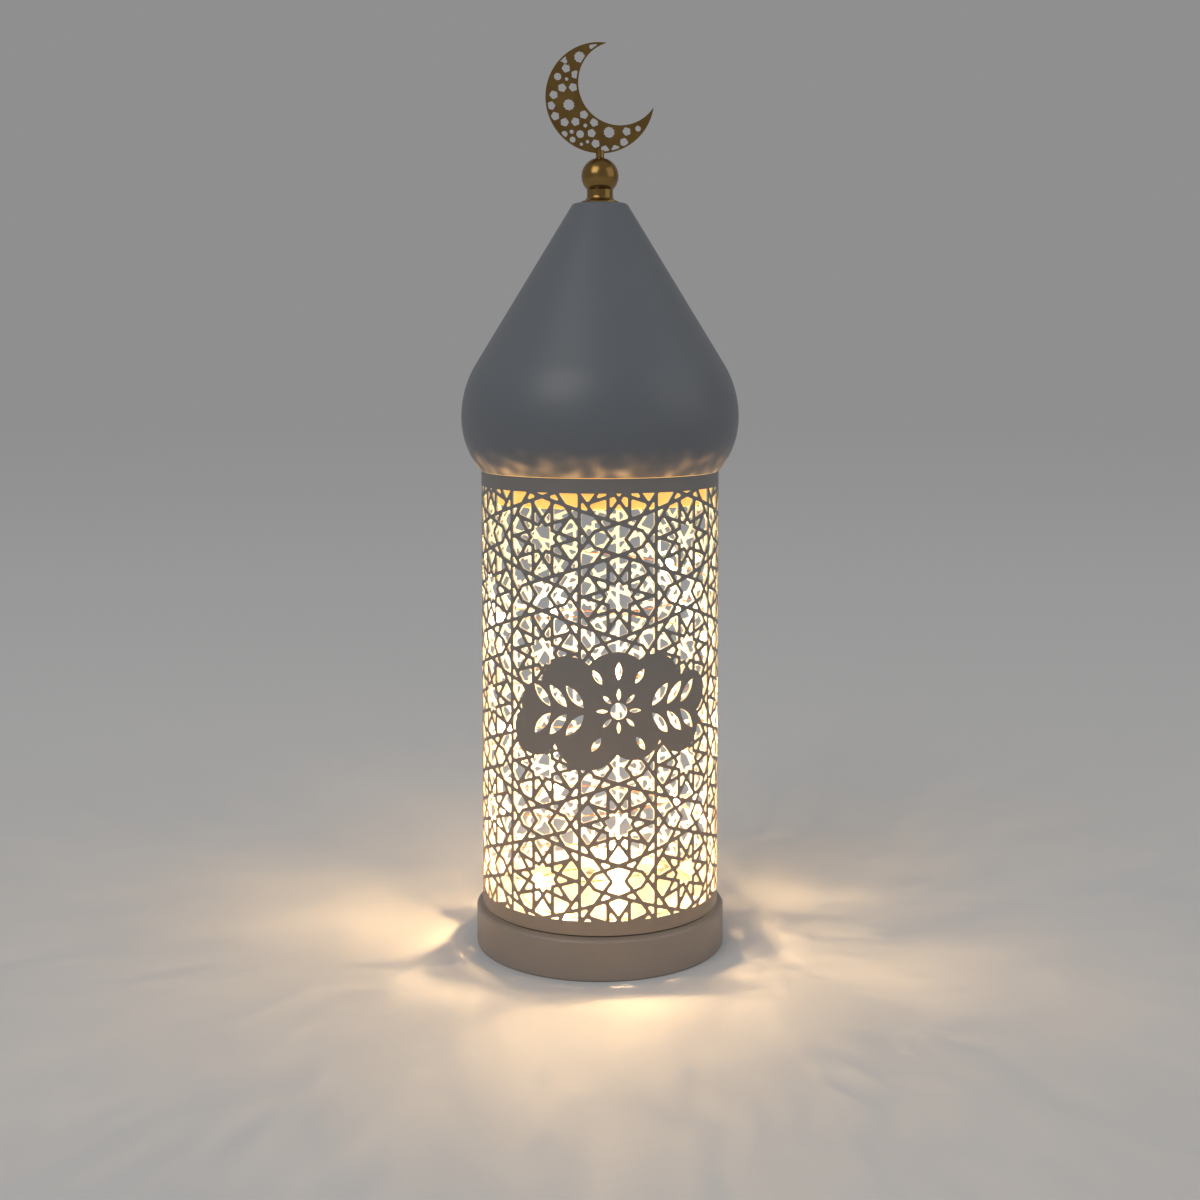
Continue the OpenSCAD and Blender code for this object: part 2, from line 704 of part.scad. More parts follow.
// the crescent's cut-outs are rosettes, kept where they leave a rim
crescent_r = crescent_d / 2;
crescent_cut_r = crescent_cut_d / 2;
crescent_rim = 1.1;
crescent_hole_r = 1.75;
crescent_eye_r = 2.5;
rosette_ring_r = 8.9;
rosette_pitch = 24.3;
rosette_turn = 4;
crescent_cut_at = polar(crescent_shift, crescent_turn);
first_rosette_r = 16.25;
first_rosette_turn = 193.5;
first_rosette = polar(first_rosette_r, first_rosette_turn);
rosettes = [first_rosette, for (a = [-33, 77]) first_rosette + polar(rosette_pitch, a)];
function leaves_rim(p, r) =
    norm(p) + r < crescent_r - crescent_rim && norm(p - crescent_cut_at) - r > crescent_cut_r + crescent_rim;

module crescent() {
    color("gold") translate([0, 0, dome_top_z + crescent_low_z + crescent_r]) rotate([90, 0, 0])
        linear_extrude(crescent_t, center = true) difference() {
            circle(r = crescent_r);
            translate(crescent_cut_at) circle(r = crescent_cut_r);
            for (c = rosettes) {
                if (leaves_rim(c, crescent_eye_r)) translate(c) circle(r = crescent_eye_r, $fn = 32);
                for (k = [0 : 9]) let (p = c + polar(rosette_ring_r, 36 * k + rosette_turn))
                    if (leaves_rim(p, crescent_hole_r)) translate(p) circle(r = crescent_hole_r, $fn = 32);
            }
        }
}

base_pan();
lattice_shade();
shade_tabs();
tab_screws();
wire_grommet();
cover_spacers();
bottom_cover();
cover_screws();
battery_box();
battery_cells();
contact_springs();
contact_plates();
battery_door();
driver_board();
switch_body();
switch_slider();
light_wire();
light_beads();
dome_shell();
dome_collar();
finial_foot();
finial_ball();
finial_neck();
crescent();
finial_stud();
stud_washer();
stud_nut();
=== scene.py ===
import math

import bmesh
import bpy
from mathutils import Matrix, Vector, noise
from mathutils.geometry import delaunay_2d_cdt


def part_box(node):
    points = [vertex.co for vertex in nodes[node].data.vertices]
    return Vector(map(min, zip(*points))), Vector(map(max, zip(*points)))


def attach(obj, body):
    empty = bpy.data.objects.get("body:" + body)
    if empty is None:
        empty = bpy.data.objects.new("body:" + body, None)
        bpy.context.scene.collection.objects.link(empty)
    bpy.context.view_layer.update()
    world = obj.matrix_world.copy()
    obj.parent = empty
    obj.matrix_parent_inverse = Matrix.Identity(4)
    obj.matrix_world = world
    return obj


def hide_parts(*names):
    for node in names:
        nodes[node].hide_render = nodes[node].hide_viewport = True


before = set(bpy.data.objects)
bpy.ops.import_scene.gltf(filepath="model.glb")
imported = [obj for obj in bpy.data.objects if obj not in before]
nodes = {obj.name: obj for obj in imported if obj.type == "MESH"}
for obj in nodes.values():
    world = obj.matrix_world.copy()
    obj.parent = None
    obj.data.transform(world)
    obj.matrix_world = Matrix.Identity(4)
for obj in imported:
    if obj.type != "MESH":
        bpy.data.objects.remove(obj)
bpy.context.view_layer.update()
mm = 0.001
print("frame loaded:", len(nodes), "nodes")


def newObject(name, data):
    obj = bpy.data.objects.new(name, data)
    bpy.context.scene.collection.objects.link(obj)
    return obj


# camera, fitted to the photo's verticals and to the ellipses of the base and the rim
camera = {"distance": 0.84, "height": 0.299, "turn": 8.6, "pitch": 3.3, "lens": 49.8, "sensor": 36.0,
          "shiftY": -0.124}


def placeCamera():
    data = bpy.data.cameras.new("camera")
    data.lens = camera["lens"]
    data.sensor_width = camera["sensor"]
    data.shift_y = camera["shiftY"]
    cam = newObject("camera", data)
    a = math.radians(camera["turn"])
    cam.location = (-math.sin(a) * camera["distance"], -math.cos(a) * camera["distance"], camera["height"])
    cam.rotation_euler = (math.radians(90 - camera["pitch"]), 0, -a)
    bpy.context.scene.camera = cam


placeCamera()
print("camera placed")


# small helpers for outlines and meshes; outlines are in millimetres, angles in degrees
same = 1e-7  # points nearer than this, in metres, are one


def cosd(a):
    return math.cos(math.radians(a))


def sind(a):
    return math.sin(math.radians(a))


def tand(a):
    return math.tan(math.radians(a))


def smooth(t):
    t = min(max(t, 0), 1)
    return t * t * (3 - 2 * t)


def meshFrom(name, verts, faces):
    mesh = bpy.data.meshes.new(name)
    mesh.from_pydata([tuple(v) for v in verts], [], faces)
    mesh.update()
    return mesh


def opened(mesh):
    bm = bmesh.new()
    bm.from_mesh(mesh)
    return bm


def stored(bm, mesh):
    bm.to_mesh(mesh)
    bm.free()
    mesh.update()
    return mesh


def outward(mesh):
    bm = opened(mesh)
    bmesh.ops.remove_doubles(bm, verts=bm.verts, dist=same)
    bmesh.ops.recalc_face_normals(bm, faces=bm.faces)
    return stored(bm, mesh)


def smoothAll(mesh):
    mesh.polygons.foreach_set("use_smooth", [True] * len(mesh.polygons))


def smoothByAngle(mesh, degrees):
    smoothAll(mesh)
    bm = opened(mesh)
    for edge in bm.edges:
        edge.smooth = len(edge.link_faces) == 2 and edge.calc_face_angle(0) < math.radians(degrees)
    return stored(bm, mesh)


def drop(obj):
    data = obj.data
    bpy.data.objects.remove(obj)
    if data and data.users == 0:
        bpy.data.meshes.remove(data)


def polar(r, a):
    return Vector((r * cosd(a), r * sind(a)))


def circle(r, steps):
    return [polar(r, 360 * k / steps) for k in range(steps)]


def turned(points, degrees):
    spin = Matrix.Rotation(math.radians(degrees), 2)
    return [spin @ p for p in points]


def moved(points, by):
    return [p + Vector(by) for p in points]


def mirrored(points, x, y):
    out = [Vector((p.x * x, p.y * y)) for p in points]
    return out[::-1] if x * y < 0 else out


def inset(points, w):
    # pulls every side of a counter-clockwise outline in by w
    out = []
    for i, p in enumerate(points):
        a = (p - points[i - 1]).normalized()
        b = (points[(i + 1) % len(points)] - p).normalized()
        m, k = Vector((-a.y, a.x)), Vector((-b.y, b.x))
        out.append(p + (m + k) * (w / (1 + m.dot(k))))
    return out


def roundedCorners(points, r, steps=4):
    # rounds each corner by r, or by less where its sides are short
    straight, longest = 1.5, 0.45
    out = []
    for i, p in enumerate(points):
        a, b = points[i - 1] - p, points[(i + 1) % len(points)] - p
        half = a.angle(b) / 2
        if half > straight:
            out.append(p)
            continue
        near = min(r / math.tan(half), a.length * longest, b.length * longest)
        a, b = a.normalized(), b.normalized()
        middle = p + (a + b).normalized() * (near / math.cos(half))
        s, e = p + a * near - middle, p + b * near - middle
        for k in range(steps + 1):
            out.append(middle + s.lerp(e, k / steps).normalized() * s.length)
    return out


def flatSheet(name, outlines, keep, lines=()):
    # triangles over overlapping outlines; keep() says by the outlines round a triangle whether it is metal
    verts, edges, faces = [], [], []
    for outline in outlines:
        faces.append(list(range(len(verts), len(verts) + len(outline))))
        verts += outline
    for a, b in lines:
        edges.append((len(verts), len(verts) + 1))
        verts += [a, b]
    got, _, triangles, _, _, inside = delaunay_2d_cdt(verts, edges, faces, 0, 1e-6, True)
    solid = [t for t, owners in zip(triangles, inside) if owners and keep(set(owners))]
    used = sorted({i for t in solid for i in t})
    place = {i: n for n, i in enumerate(used)}
    return meshFrom(name, [(got[i].x, got[i].y, 0) for i in used], [[place[i] for i in t] for t in solid])


def lathe(name, profile, segments):
    # profile points are (radius, height) in millimetres
    # a closed profile gives a ring, an open one starts and ends on the axis
    closed = profile[0] == profile[-1]
    rows = profile[:-1] if closed else profile
    bm = bmesh.new()
    rings = []
    for r, z in rows:
        if r < 1e-6:
            rings.append([bm.verts.new((0, 0, z * mm))] * segments)
        else:
            turns = [2 * math.pi * k / segments for k in range(segments)]
            rings.append([bm.verts.new((r * mm * math.cos(a), r * mm * math.sin(a), z * mm)) for a in turns])
    pairs = list(zip(rings, rings[1:])) + ([(rings[-1], rings[0])] if closed else [])
    for a, b in pairs:
        for k in range(segments):
            n = (k + 1) % segments
            corners = list(dict.fromkeys((a[k], a[n], b[n], b[k])))
            if len(corners) > 2:
                bm.faces.new(corners)
    bmesh.ops.recalc_face_normals(bm, faces=bm.faces)
    return stored(bm, bpy.data.meshes.new(name))


# node helpers, for materials and for Geometry Nodes

def feed(node, inputs):
    # links an input where a socket is given, and sets it otherwise
    for key, value in inputs.items():
        if isinstance(value, bpy.types.NodeSocket):
            node.id_data.links.new(value, node.inputs[key])
        else:
            node.inputs[key].default_value = value
    return node


def add(tree, kind, inputs=None, **settings):
    node = tree.nodes.new(kind)
    for key, value in settings.items():
        setattr(node, key, value)
    return feed(node, inputs or {})


def calc(tree, operation, *values):
    return add(tree, "ShaderNodeMath", dict(enumerate(values)), operation=operation).outputs[0]


def vectorOf(tree, **axes):
    return add(tree, "ShaderNodeCombineXYZ", axes).outputs[0]


def axesOf(tree, vector):
    return add(tree, "ShaderNodeSeparateXYZ", {"Vector": vector}).outputs


def mapped(tree, value, low, high, start=0.0, end=1.0, kind="LINEAR"):
    return add(tree, "ShaderNodeMapRange", {"Value": value, "From Min": start, "From Max": end, "To Min": low,
                                            "To Max": high}, interpolation_type=kind).outputs["Result"]


def bumped(tree, height, strength, distance=0.0002):
    return add(tree, "ShaderNodeBump", {"Height": height, "Strength": strength,
                                        "Distance": distance}).outputs["Normal"]


def scaled(tree, vector, by):
    return add(tree, "ShaderNodeVectorMath", {0: vector, "Scale": by}, operation="SCALE").outputs["Vector"]


def onObject(tree):
    return add(tree, "ShaderNodeTexCoord").outputs["Object"]


def clouded(tree, place, scale, detail, roughness=0.5, distortion=0.0):
    return add(tree, "ShaderNodeTexNoise", {"Vector": place, "Scale": scale, "Detail": detail,
                                            "Roughness": roughness, "Distortion": distortion}).outputs["Fac"]


def mixColors(tree, factor, dark, light):
    # dark and light are tones or sockets
    dark, light = (c if isinstance(c, bpy.types.NodeSocket) else (*c, 1) for c in (dark, light))
    return add(tree, "ShaderNodeMix", {"Factor": factor, 6: dark, 7: light}, data_type="RGBA").outputs[2]


def aroundTone(tree, factor, tone, by):
    # the tone, a little darker or lighter with the factor
    return mixColors(tree, factor, [c * (1 - by) for c in tone], [min(c * (1 + by), 1) for c in tone])


def newTree(kind, name, takes, gives):
    # takes and gives name each socket with its kind, or with the number that it starts from
    tree = bpy.data.node_groups.new(name, kind + "NodeTree")
    for way, sockets in (("INPUT", takes), ("OUTPUT", gives)):
        for label, what in sockets.items():
            if isinstance(what, str):
                tree.interface.new_socket(label, in_out=way, socket_type="NodeSocket" + what)
            else:
                tree.interface.new_socket(label, in_out=way, socket_type="NodeSocketFloat").default_value = what
    return tree, tree.nodes.new("NodeGroupInput").outputs, tree.nodes.new("NodeGroupOutput")


def powderSkin():
    # the orange peel of sprayed paint, slow tone changes and a little settled dust
    takes = {"Peel Scale": 1500, "Cloud Scale": 14, "Speck Scale": 420}
    tree, given, result = newTree("Shader", "powderSkin", takes, {"Height": 0, "Cloud": 0, "Speck": 0})
    place = onObject(tree)
    speck = add(tree, "ShaderNodeTexVoronoi", {"Vector": place, "Scale": given["Speck Scale"]}, feature="F1")
    feed(result, {"Height": clouded(tree, place, given["Peel Scale"], 2.0, 0.45),
                  "Cloud": clouded(tree, place, given["Cloud Scale"], 4.0, 0.55, 0.4),
                  "Speck": mapped(tree, speck.outputs["Distance"], 1.0, 0.0, 0.05, 0.12)})
    return tree


def handledSkin():
    # smudges, fine scratches drawn out along one axis, and the grain of moulded plastic
    takes = {"Smudge Scale": 60, "Scratch Scale": 500, "Stretch": 14, "Grain Scale": 2600}
    tree, given, result = newTree("Shader", "handledSkin", takes, {"Smudge": 0, "Scratch": 0, "Grain": 0})
    place = onObject(tree)
    stretch = vectorOf(tree, X=1.0, Y=1.0, Z=given["Stretch"])
    drawn = add(tree, "ShaderNodeVectorMath", {0: place, 1: stretch}, operation="MULTIPLY").outputs["Vector"]
    feed(result, {"Smudge": clouded(tree, place, given["Smudge Scale"], 5.0, 0.6),
                  "Scratch": clouded(tree, drawn, given["Scratch Scale"], 2.0),
                  "Grain": clouded(tree, place, given["Grain Scale"], 1.0)})
    return tree


powder = powderSkin()
handled = handledSkin()
smudgeSpan = (0.3, 0.7)  # the part of the smudges that changes the gloss


def startMaterial(name):
    mat = bpy.data.materials.new(name)
    mat.use_nodes = True
    tree = mat.node_tree
    return mat, tree, tree.nodes["Principled BSDF"]


def satinPaint(name, tone, glow=None, lower=None):
    # glow is the colour and strength of painted lamp light, an emission scaled by the attribute "glow"
    # lower is a warmer, lighter tone near the table, painted bounce light from the lit floor, and the height
    # where it has faded
    mat, tree, shader = startMaterial(name)
    skin = add(tree, "ShaderNodeGroup", node_tree=powder).outputs
    color = aroundTone(tree, skin["Cloud"], tone, 0.07)
    # painted bounce light: warmer and lighter towards the table
    if lower:
        near = mapped(tree, axesOf(tree, onObject(tree))["Z"], 1.0, 0.0, 0.0, lower[1], "SMOOTHSTEP")
        color = mixColors(tree, near, color, aroundTone(tree, skin["Cloud"], lower[0], 0.07))
    if glow:
        lit = add(tree, "ShaderNodeAttribute", attribute_name="glow").outputs["Fac"]
        feed(shader, {"Emission Color": scaled(tree, glow[0], lit), "Emission Strength": glow[1]})
        mat.cycles.emission_sampling = "NONE"
    dull = mapped(tree, skin["Cloud"], 0.36, 0.50)
    feed(shader, {"Base Color": color, "Roughness": calc(tree, "MULTIPLY_ADD", skin["Speck"], 0.16, dull),
                  "Normal": bumped(tree, skin["Height"], 0.10, 0.0004),
                  "Coat Weight": 0.12, "Coat Roughness": 0.3})
    return mat


def metalFinish(name, dark, light, rough, bump, scratchScale, stretch):
    mat, tree, shader = startMaterial(name)
    skin = add(tree, "ShaderNodeGroup", {"Scratch Scale": scratchScale, "Stretch": stretch},
               node_tree=handled).outputs
    feed(shader, {"Base Color": mixColors(tree, skin["Smudge"], dark, light), "Metallic": 1.0,
                  "Roughness": mapped(tree, skin["Smudge"], *rough, *smudgeSpan),
                  "Normal": bumped(tree, skin["Scratch"], bump)})
    return mat


def mouldedPlastic(name, tone, rough=(0.42, 0.55), grain=0.12):
    mat, tree, shader = startMaterial(name)
    skin = add(tree, "ShaderNodeGroup", node_tree=handled).outputs
    feed(shader, {"Base Color": aroundTone(tree, skin["Smudge"], tone, 0.08),
                  "Roughness": mapped(tree, skin["Smudge"], *rough, *smudgeSpan),
                  "Normal": bumped(tree, skin["Grain"], grain)})
    return mat


# one paint in three copies: the dome's as it is, the base's and the shade's written warmer and lighter as
# painted light from the lamp-lit floor; the dome and the shade also carry painted lamp light as emission, and
# the shade grows warmer towards the table as painted bounce light
domePaint = satinPaint("domePaint", (0.101, 0.111, 0.126), glow=((1.0, 0.55, 0.21), 1.0))
litBasePaint = satinPaint("litBasePaint", (0.232, 0.184, 0.149))
# near black: painted shadow for the gap under the shade
shadowGapPaint = satinPaint("shadowGapPaint", (0.014, 0.012, 0.011))
litShadePaint = satinPaint("litShadePaint", (0.150, 0.142, 0.135), glow=((1.0, 0.83, 0.48), 0.96),
                        lower=((0.265, 0.193, 0.138), 0.22))
gold = metalFinish("polishedGold", (0.19, 0.105, 0.028), (0.37, 0.23, 0.08), (0.14, 0.32), 0.06, 260.0, 3.0)
zinc = metalFinish("zincPlate", (0.50, 0.50, 0.48), (0.66, 0.66, 0.65), (0.26, 0.42), 0.10, 900.0, 6.0)
nickel = metalFinish("nickelPlate", (0.60, 0.58, 0.54), (0.74, 0.72, 0.68), (0.20, 0.34), 0.06, 700.0, 10.0)
coverPlastic = mouldedPlastic("coverPlastic", (0.62, 0.61, 0.58))
doorPlastic = mouldedPlastic("doorPlastic", (0.60, 0.59, 0.56))
boxPlastic = mouldedPlastic("boxPlastic", (0.045, 0.045, 0.048), (0.5, 0.62))
knobPlastic = mouldedPlastic("knobPlastic", (0.02, 0.02, 0.02), (0.35, 0.5))
grommetRubber = mouldedPlastic("grommetRubber", (0.03, 0.03, 0.03), (0.7, 0.82), 0.25)
print("shared materials made")


def collarPlastic():
    # milky amber plastic that takes the light through; the glow of that light is painted as emission
    mat, tree, shader = startMaterial("collarPlastic")
    smudge = add(tree, "ShaderNodeGroup", {"Smudge Scale": 30.0}, node_tree=handled).outputs["Smudge"]
    color = mixColors(tree, smudge, (0.86, 0.50, 0.10), (0.96, 0.64, 0.18))
    feed(shader, {"Base Color": color, "Emission Color": color, "Emission Strength": 0.6,
                  "Subsurface Weight": 0.5, "Subsurface Radius": (1.0, 0.6, 0.3),
                  "Subsurface Scale": 0.002, "Roughness": mapped(tree, smudge, 0.32, 0.48)})
    mat.cycles.emission_sampling = "NONE"
    return mat


def cloudedFinish(name, scale, detail, dark, light, gloss=None, glow=0.0, **values):
    # two tones in clouds, and the same clouds in the gloss
    mat, tree, shader = startMaterial(name)
    cloud = clouded(tree, onObject(tree), scale, detail)
    color = mixColors(tree, cloud, dark, light)
    feed(shader, {"Base Color": color} | values)
    if gloss:
        feed(shader, {"Roughness": mapped(tree, cloud, *gloss)})
    if glow:
        feed(shader, {"Emission Color": color, "Emission Strength": glow})
    return mat


def cellJacket():
    # foil sleeve in two plain bands of colour along the cell, a little uneven
    mat, tree, shader = startMaterial("cellJacket")
    place = onObject(tree)
    far = calc(tree, "GREATER_THAN", axesOf(tree, place)["X"], 0.012)
    color = mixColors(tree, far, (0.035, 0.07, 0.08), (0.55, 0.36, 0.10))
    cloud = add(tree, "ShaderNodeTexNoise", {"Vector": place, "Scale": 160.0, "Detail": 3.0}).outputs
    uneven = add(tree, "ShaderNodeMix", {"Factor": 0.2, 6: color, 7: cloud["Color"]}, data_type="RGBA",
                 blend_type="MULTIPLY")
    feed(shader, {"Base Color": uneven.outputs[2], "Metallic": 0.4,
                  "Roughness": mapped(tree, cloud["Fac"], 0.18, 0.34)})
    return mat


def boardMask():
    # green solder mask over raised tracks
    mat, tree, shader = startMaterial("boardMask")
    tracks = add(tree, "ShaderNodeTexBrick", {"Vector": onObject(tree), "Scale": 260.0, "Mortar Size": 0.10,
                                              "Color1": (0.2, 0.2, 0.2, 1), "Color2": (0.3, 0.3, 0.3, 1),
                                              "Mortar": (1, 1, 1, 1)}).outputs["Fac"]
    feed(shader, {"Base Color": mixColors(tree, tracks, (0.012, 0.09, 0.03), (0.04, 0.22, 0.07)),
                  "Roughness": mapped(tree, tracks, 0.3, 0.42), "Normal": bumped(tree, tracks, 0.3)})
    return mat


# the shade: flat columns of the star pattern, bent to a cylinder
lowest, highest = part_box("lattice_shade")
shade = {
    "radius": (highest.x - lowest.x) / 2 / mm,
    "lowerEdge": lowest.z / mm,
    "height": (highest.z - lowest.z) / mm,
    "sheet": 1.2,
    "columns": 10,
    "frontColumns": 3,
    "rows": 4,
    "strand": 1.65,
    "cornerRadius": 0.65,
    "topBand": 7.0,
    "bottomBand": 6.8,
    "firstStar": 3.75,  # how far the first star is over the band, in units of the pattern
    "petalSides": (3.078, 3.479),  # where a petal's straight sides start and end, in the same units
    "bendSteps": 8,
    "weld": 0.002,
    # painted lamp light on the inner face: a level everywhere, the most that is added, what the lamps' sum is
    # divided by, and the nearest distance that counts
    "glow": {"least": 0.72, "most": 1.6, "fullAt": 5000, "nearest": 0.006},
}
halfPeriod = 2 * math.pi * shade["radius"] / shade["columns"]
unit = 2 * halfPeriod / (10 + 2 * math.sqrt(5))
rowPitch = 2 * halfPeriod * tand(36)


def starPattern():
    # every opening that belongs to one star and to the gap over it, in the flat
    ring, edgeR = halfPeriod / 2 / cosd(18), halfPeriod / cosd(36) / 2
    notch, tip = unit / cosd(36), unit / cosd(54)
    star = [p for k in range(10) for p in (polar(notch, 36 * k), polar(tip, 36 * k + 18))]
    near, away = (k * unit for k in shade["petalSides"])
    petal = [Vector(p) for p in ((tip, 0), (near, -unit), (away, -unit), (ring, 0), (away, unit), (near, unit))]
    kite = [polar(notch, 0), polar(tip, -18), polar(unit / cosd(72), 0), polar(tip, 18)]
    wedge = [polar(ring, -18), polar(edgeR, 0), polar(ring, 18)]
    over = Vector((0, rowPitch / 2))
    mid = polar(edgeR, -72) + over
    side = Vector((halfPeriod - edgeR, 0))
    waist = Vector((mid.x - mid.y / tand(54), 0))
    elbow = Vector((math.sqrt(5) * unit, tand(36) * unit))
    peak = Vector((0, rowPitch / 2 - ring))
    high = polar(ring, -54) + over
    edge = polar(edgeR, -36) + over
    far = Vector((halfPeriod, 0)) + polar(ring, 162)
    hexagon = [waist, Vector((mid.x, -mid.y)), Vector((elbow.x, -elbow.y)), side, elbow, mid]
    hourglass = [waist, mid, peak, Vector((-mid.x, mid.y)), -waist, -mid, -peak, Vector((mid.x, -mid.y))]
    bigKite = [side, far, edge, high, mid, elbow]
    repeated = ((petal, 18), (kite, 0), (wedge, 0))
    around = [star] + [turned(shape, first + 36 * k) for shape, first in repeated for k in range(10)]
    between = [hexagon, mirrored(hexagon, -1, 1), hourglass]
    between += [mirrored(bigKite, x, y) for x in (1, -1) for y in (1, -1)]
    whole = around + [moved(b, over) for b in between]
    return [roundedCorners(inset(o, shade["strand"] / 2), shade["cornerRadius"], 2) for o in whole]


def columnOpenings(half, x=0.0):
    first = shade["bottomBand"] + shade["firstStar"] * unit + (rowPitch / 2 if half else 0)
    pattern = starPattern()
    rows = range(-1, shade["rows"] + (0 if half else 1))
    return [moved(o, (x, first + row * rowPitch)) for row in rows for o in pattern]


# the plaque's outline as lobes: middle and radius as shares of its half width and half height
plaque = {
    "width": 106.0,
    "height": 57.0,
    "middle": 108.6,
    "lobes": [(-0.79, -0.37, 0.43), (-0.72, 0.07, 0.41), (-0.45, 0.41, 0.5), (-0.02, 0.41, 0.59),
              (0.34, 0.43, 0.51), (0.76, 0.2, 0.38), (0.62, -0.33, 0.46), (0.15, -0.35, 0.49),
              (-0.28, -0.41, 0.59)],
    "core": (0.75, 0.45),
    "rosette": 24.0,
    "petals": 8,
    "petalShare": 0.42,  # a petal's size as a share of a leaf's
    "leaf": (13.5, 4.6),
    "leafTurn": 50.0,
    "stems": (16.8, 25.1, 33.4),
    "crown": (8.0, 3.0),
    "crownAngles": (58, 90, 122, -56, -124),
}


def plaqueOutlines():
    w, h = plaque["width"] / 2, plaque["height"] / 2
    middle = Vector((0, plaque["middle"]))
    out = [moved(circle(r * h, 72), middle + Vector((x * w, y * h))) for x, y, r in plaque["lobes"]]
    cx, cy = plaque["core"][0] * w, plaque["core"][1] * h
    out.append([middle + Vector(p) for p in ((-cx, -cy), (cx, -cy), (cx, cy), (-cx, cy))])
    return out


def leafOutline(length, width, steps=14):
    # a pointed lens, counter-clockwise, along x
    bend = length * length / width / 4 + width / 4
    half = math.degrees(math.asin(length / 2 / bend))
    upper = [polar(bend, 90 - half + 2 * half * i / steps) - Vector((0, bend - width / 2)) for i in range(steps)]
    return upper + [-p for p in upper]


def plaqueCuts():
    # a rosette, two stems of leaves and a few small leaves over and under it
    length, width = plaque["leaf"]
    tall, wide = plaque["crown"]
    d, step = plaque["rosette"], 360 / plaque["petals"]
    petal = leafOutline(length * plaque["petalShare"], width * plaque["petalShare"])
    leaf, crown = leafOutline(length, width), leafOutline(tall, wide)
    cuts = [circle(d / 6, 24)]
    cuts += [moved(turned(petal, step * k), polar(d / 3, step * k)) for k in range(plaque["petals"])]
    for side in (-1, 1):
        for reach in plaque["stems"]:
            for way in (-1, 1):
                a = way * plaque["leafTurn"] if side > 0 else 180 - way * plaque["leafTurn"]
                stem = Vector((side * reach, way * shade["strand"]))
                cuts.append(moved(turned(leaf, a), stem + polar(length / 2, a)))
    for a in plaque["crownAngles"]:
        cuts.append(moved(turned(crown, a), polar(d / 2 + 2 * shade["strand"] + tall / 2, a)))
    return [moved(c, (0, plaque["middle"])) for c in cuts]


def columnSheet(name, columns, ornament):
    # columns are (offset in columns, whether it is shifted by half a row)
    low, high = shade["bottomBand"], shade["height"] - shade["topBand"]
    left = (min(c for c, _ in columns) - 0.5) * halfPeriod
    right = (max(c for c, _ in columns) + 0.5) * halfPeriod
    near = dict((c + side, not half) for c, half in columns for side in (-1, 1))
    near.update(columns)  # what the next columns cut into this sheet is cut too
    holes = [o for c, half in near.items() for o in columnOpenings(half, c * halfPeriod)]
    holes = [o for o in holes if max(p.y for p in o) > low and min(p.y for p in o) < high
             and max(p.x for p in o) > left and min(p.x for p in o) < right]

    def strip(a, b):
        return [Vector(p) for p in ((left, a), (right, a), (right, b), (left, b))]

    whole = strip(0, shade["height"])
    bands = [strip(0, low), strip(high, shade["height"])]
    lobes = plaqueOutlines() if ornament else []
    cuts = plaqueCuts() if ornament else []
    firstBand = 1 + len(holes)
    firstCut = firstBand + len(bands) + len(lobes)

    def isMetal(owners):
        # cuts go through everything; bands and lobes cover the openings of the pattern
        if any(o >= firstCut for o in owners):
            return False
        return any(o >= firstBand for o in owners) or owners == {0}

    lines = []
    steps = round((right - left) / halfPeriod * shade["bendSteps"])
    for i in range(1, steps):
        x = left + (right - left) * i / steps
        lines.append((Vector((x, 0)), Vector((x, shade["height"]))))
    mesh = flatSheet(name, [whole] + holes + bands + lobes + cuts, isMetal, lines)
    mesh.transform(Matrix.Scale(mm, 4))
    middles = [sum(p.x for p in o) / len(o) for o in holes]
    return mesh, sum(left < m <= right for m in middles)


def plateFrom(name, flat, thickness, bevel):
    # stands a flat sheet up as a plate in the xz plane, its rims broken by a small bevel on both faces
    bm = opened(flat)
    bmesh.ops.remove_doubles(bm, verts=bm.verts, dist=10 * same)
    still = Vector((0, 0, 0))
    into = {}
    for v in bm.verts:
        rim = [e for e in v.link_edges if e.is_boundary]
        if len(rim) != 2:
            continue
        pull = still.copy()
        for e in rim:
            face = e.link_faces[0]
            along = (e.other_vert(v).co - v.co).normalized()
            side = Vector((-along.y, along.x, 0))
            if side.dot(face.calc_center_median() - v.co) < 0:
                side = -side
            pull += side
        if pull.length > 1e-6:
            into[v] = pull.normalized() * bevel / max(pull.length / 2, 0.5)
    verts, faces, levels = [], [], []
    half = thickness / 2
    for z, inset in ((half, True), (half - bevel, False), (-half + bevel, False), (-half, True)):
        place = {}
        for v in bm.verts:
            if inset or v in into:
                place[v] = len(verts)
                p = v.co + (into.get(v, still) if inset else still)
                verts.append((p.x, -z, p.y))
        levels.append(place)
    for f in bm.faces:
        faces.append([levels[0][v] for v in f.verts])
        faces.append([levels[3][v] for v in reversed(f.verts)])
    for e in bm.edges:
        if not e.is_boundary:
            continue
        a, b = e.verts
        for upper, lower in zip(levels, levels[1:]):
            if a in upper and b in upper and a in lower and b in lower:
                faces.append([upper[a], upper[b], lower[b], lower[a]])
    bm.free()
    return outward(meshFrom(name, verts, faces))


def shaped(tree, kind, inputs, **settings):
    return add(tree, "GeometryNode" + kind, inputs, **settings).outputs[0]


def joined(tree, *parts):
    node = add(tree, "GeometryNodeJoinGeometry")
    for part in parts:
        tree.links.new(part, node.inputs[0])
    return node.outputs[0]


def finishTree(tree, geometry, material, result):
    whole = shaped(tree, "RealizeInstances", {"Geometry": geometry})
    done = shaped(tree, "SetMaterial", {"Geometry": whole, "Material": material})
    tree.links.new(done, result.inputs[0])


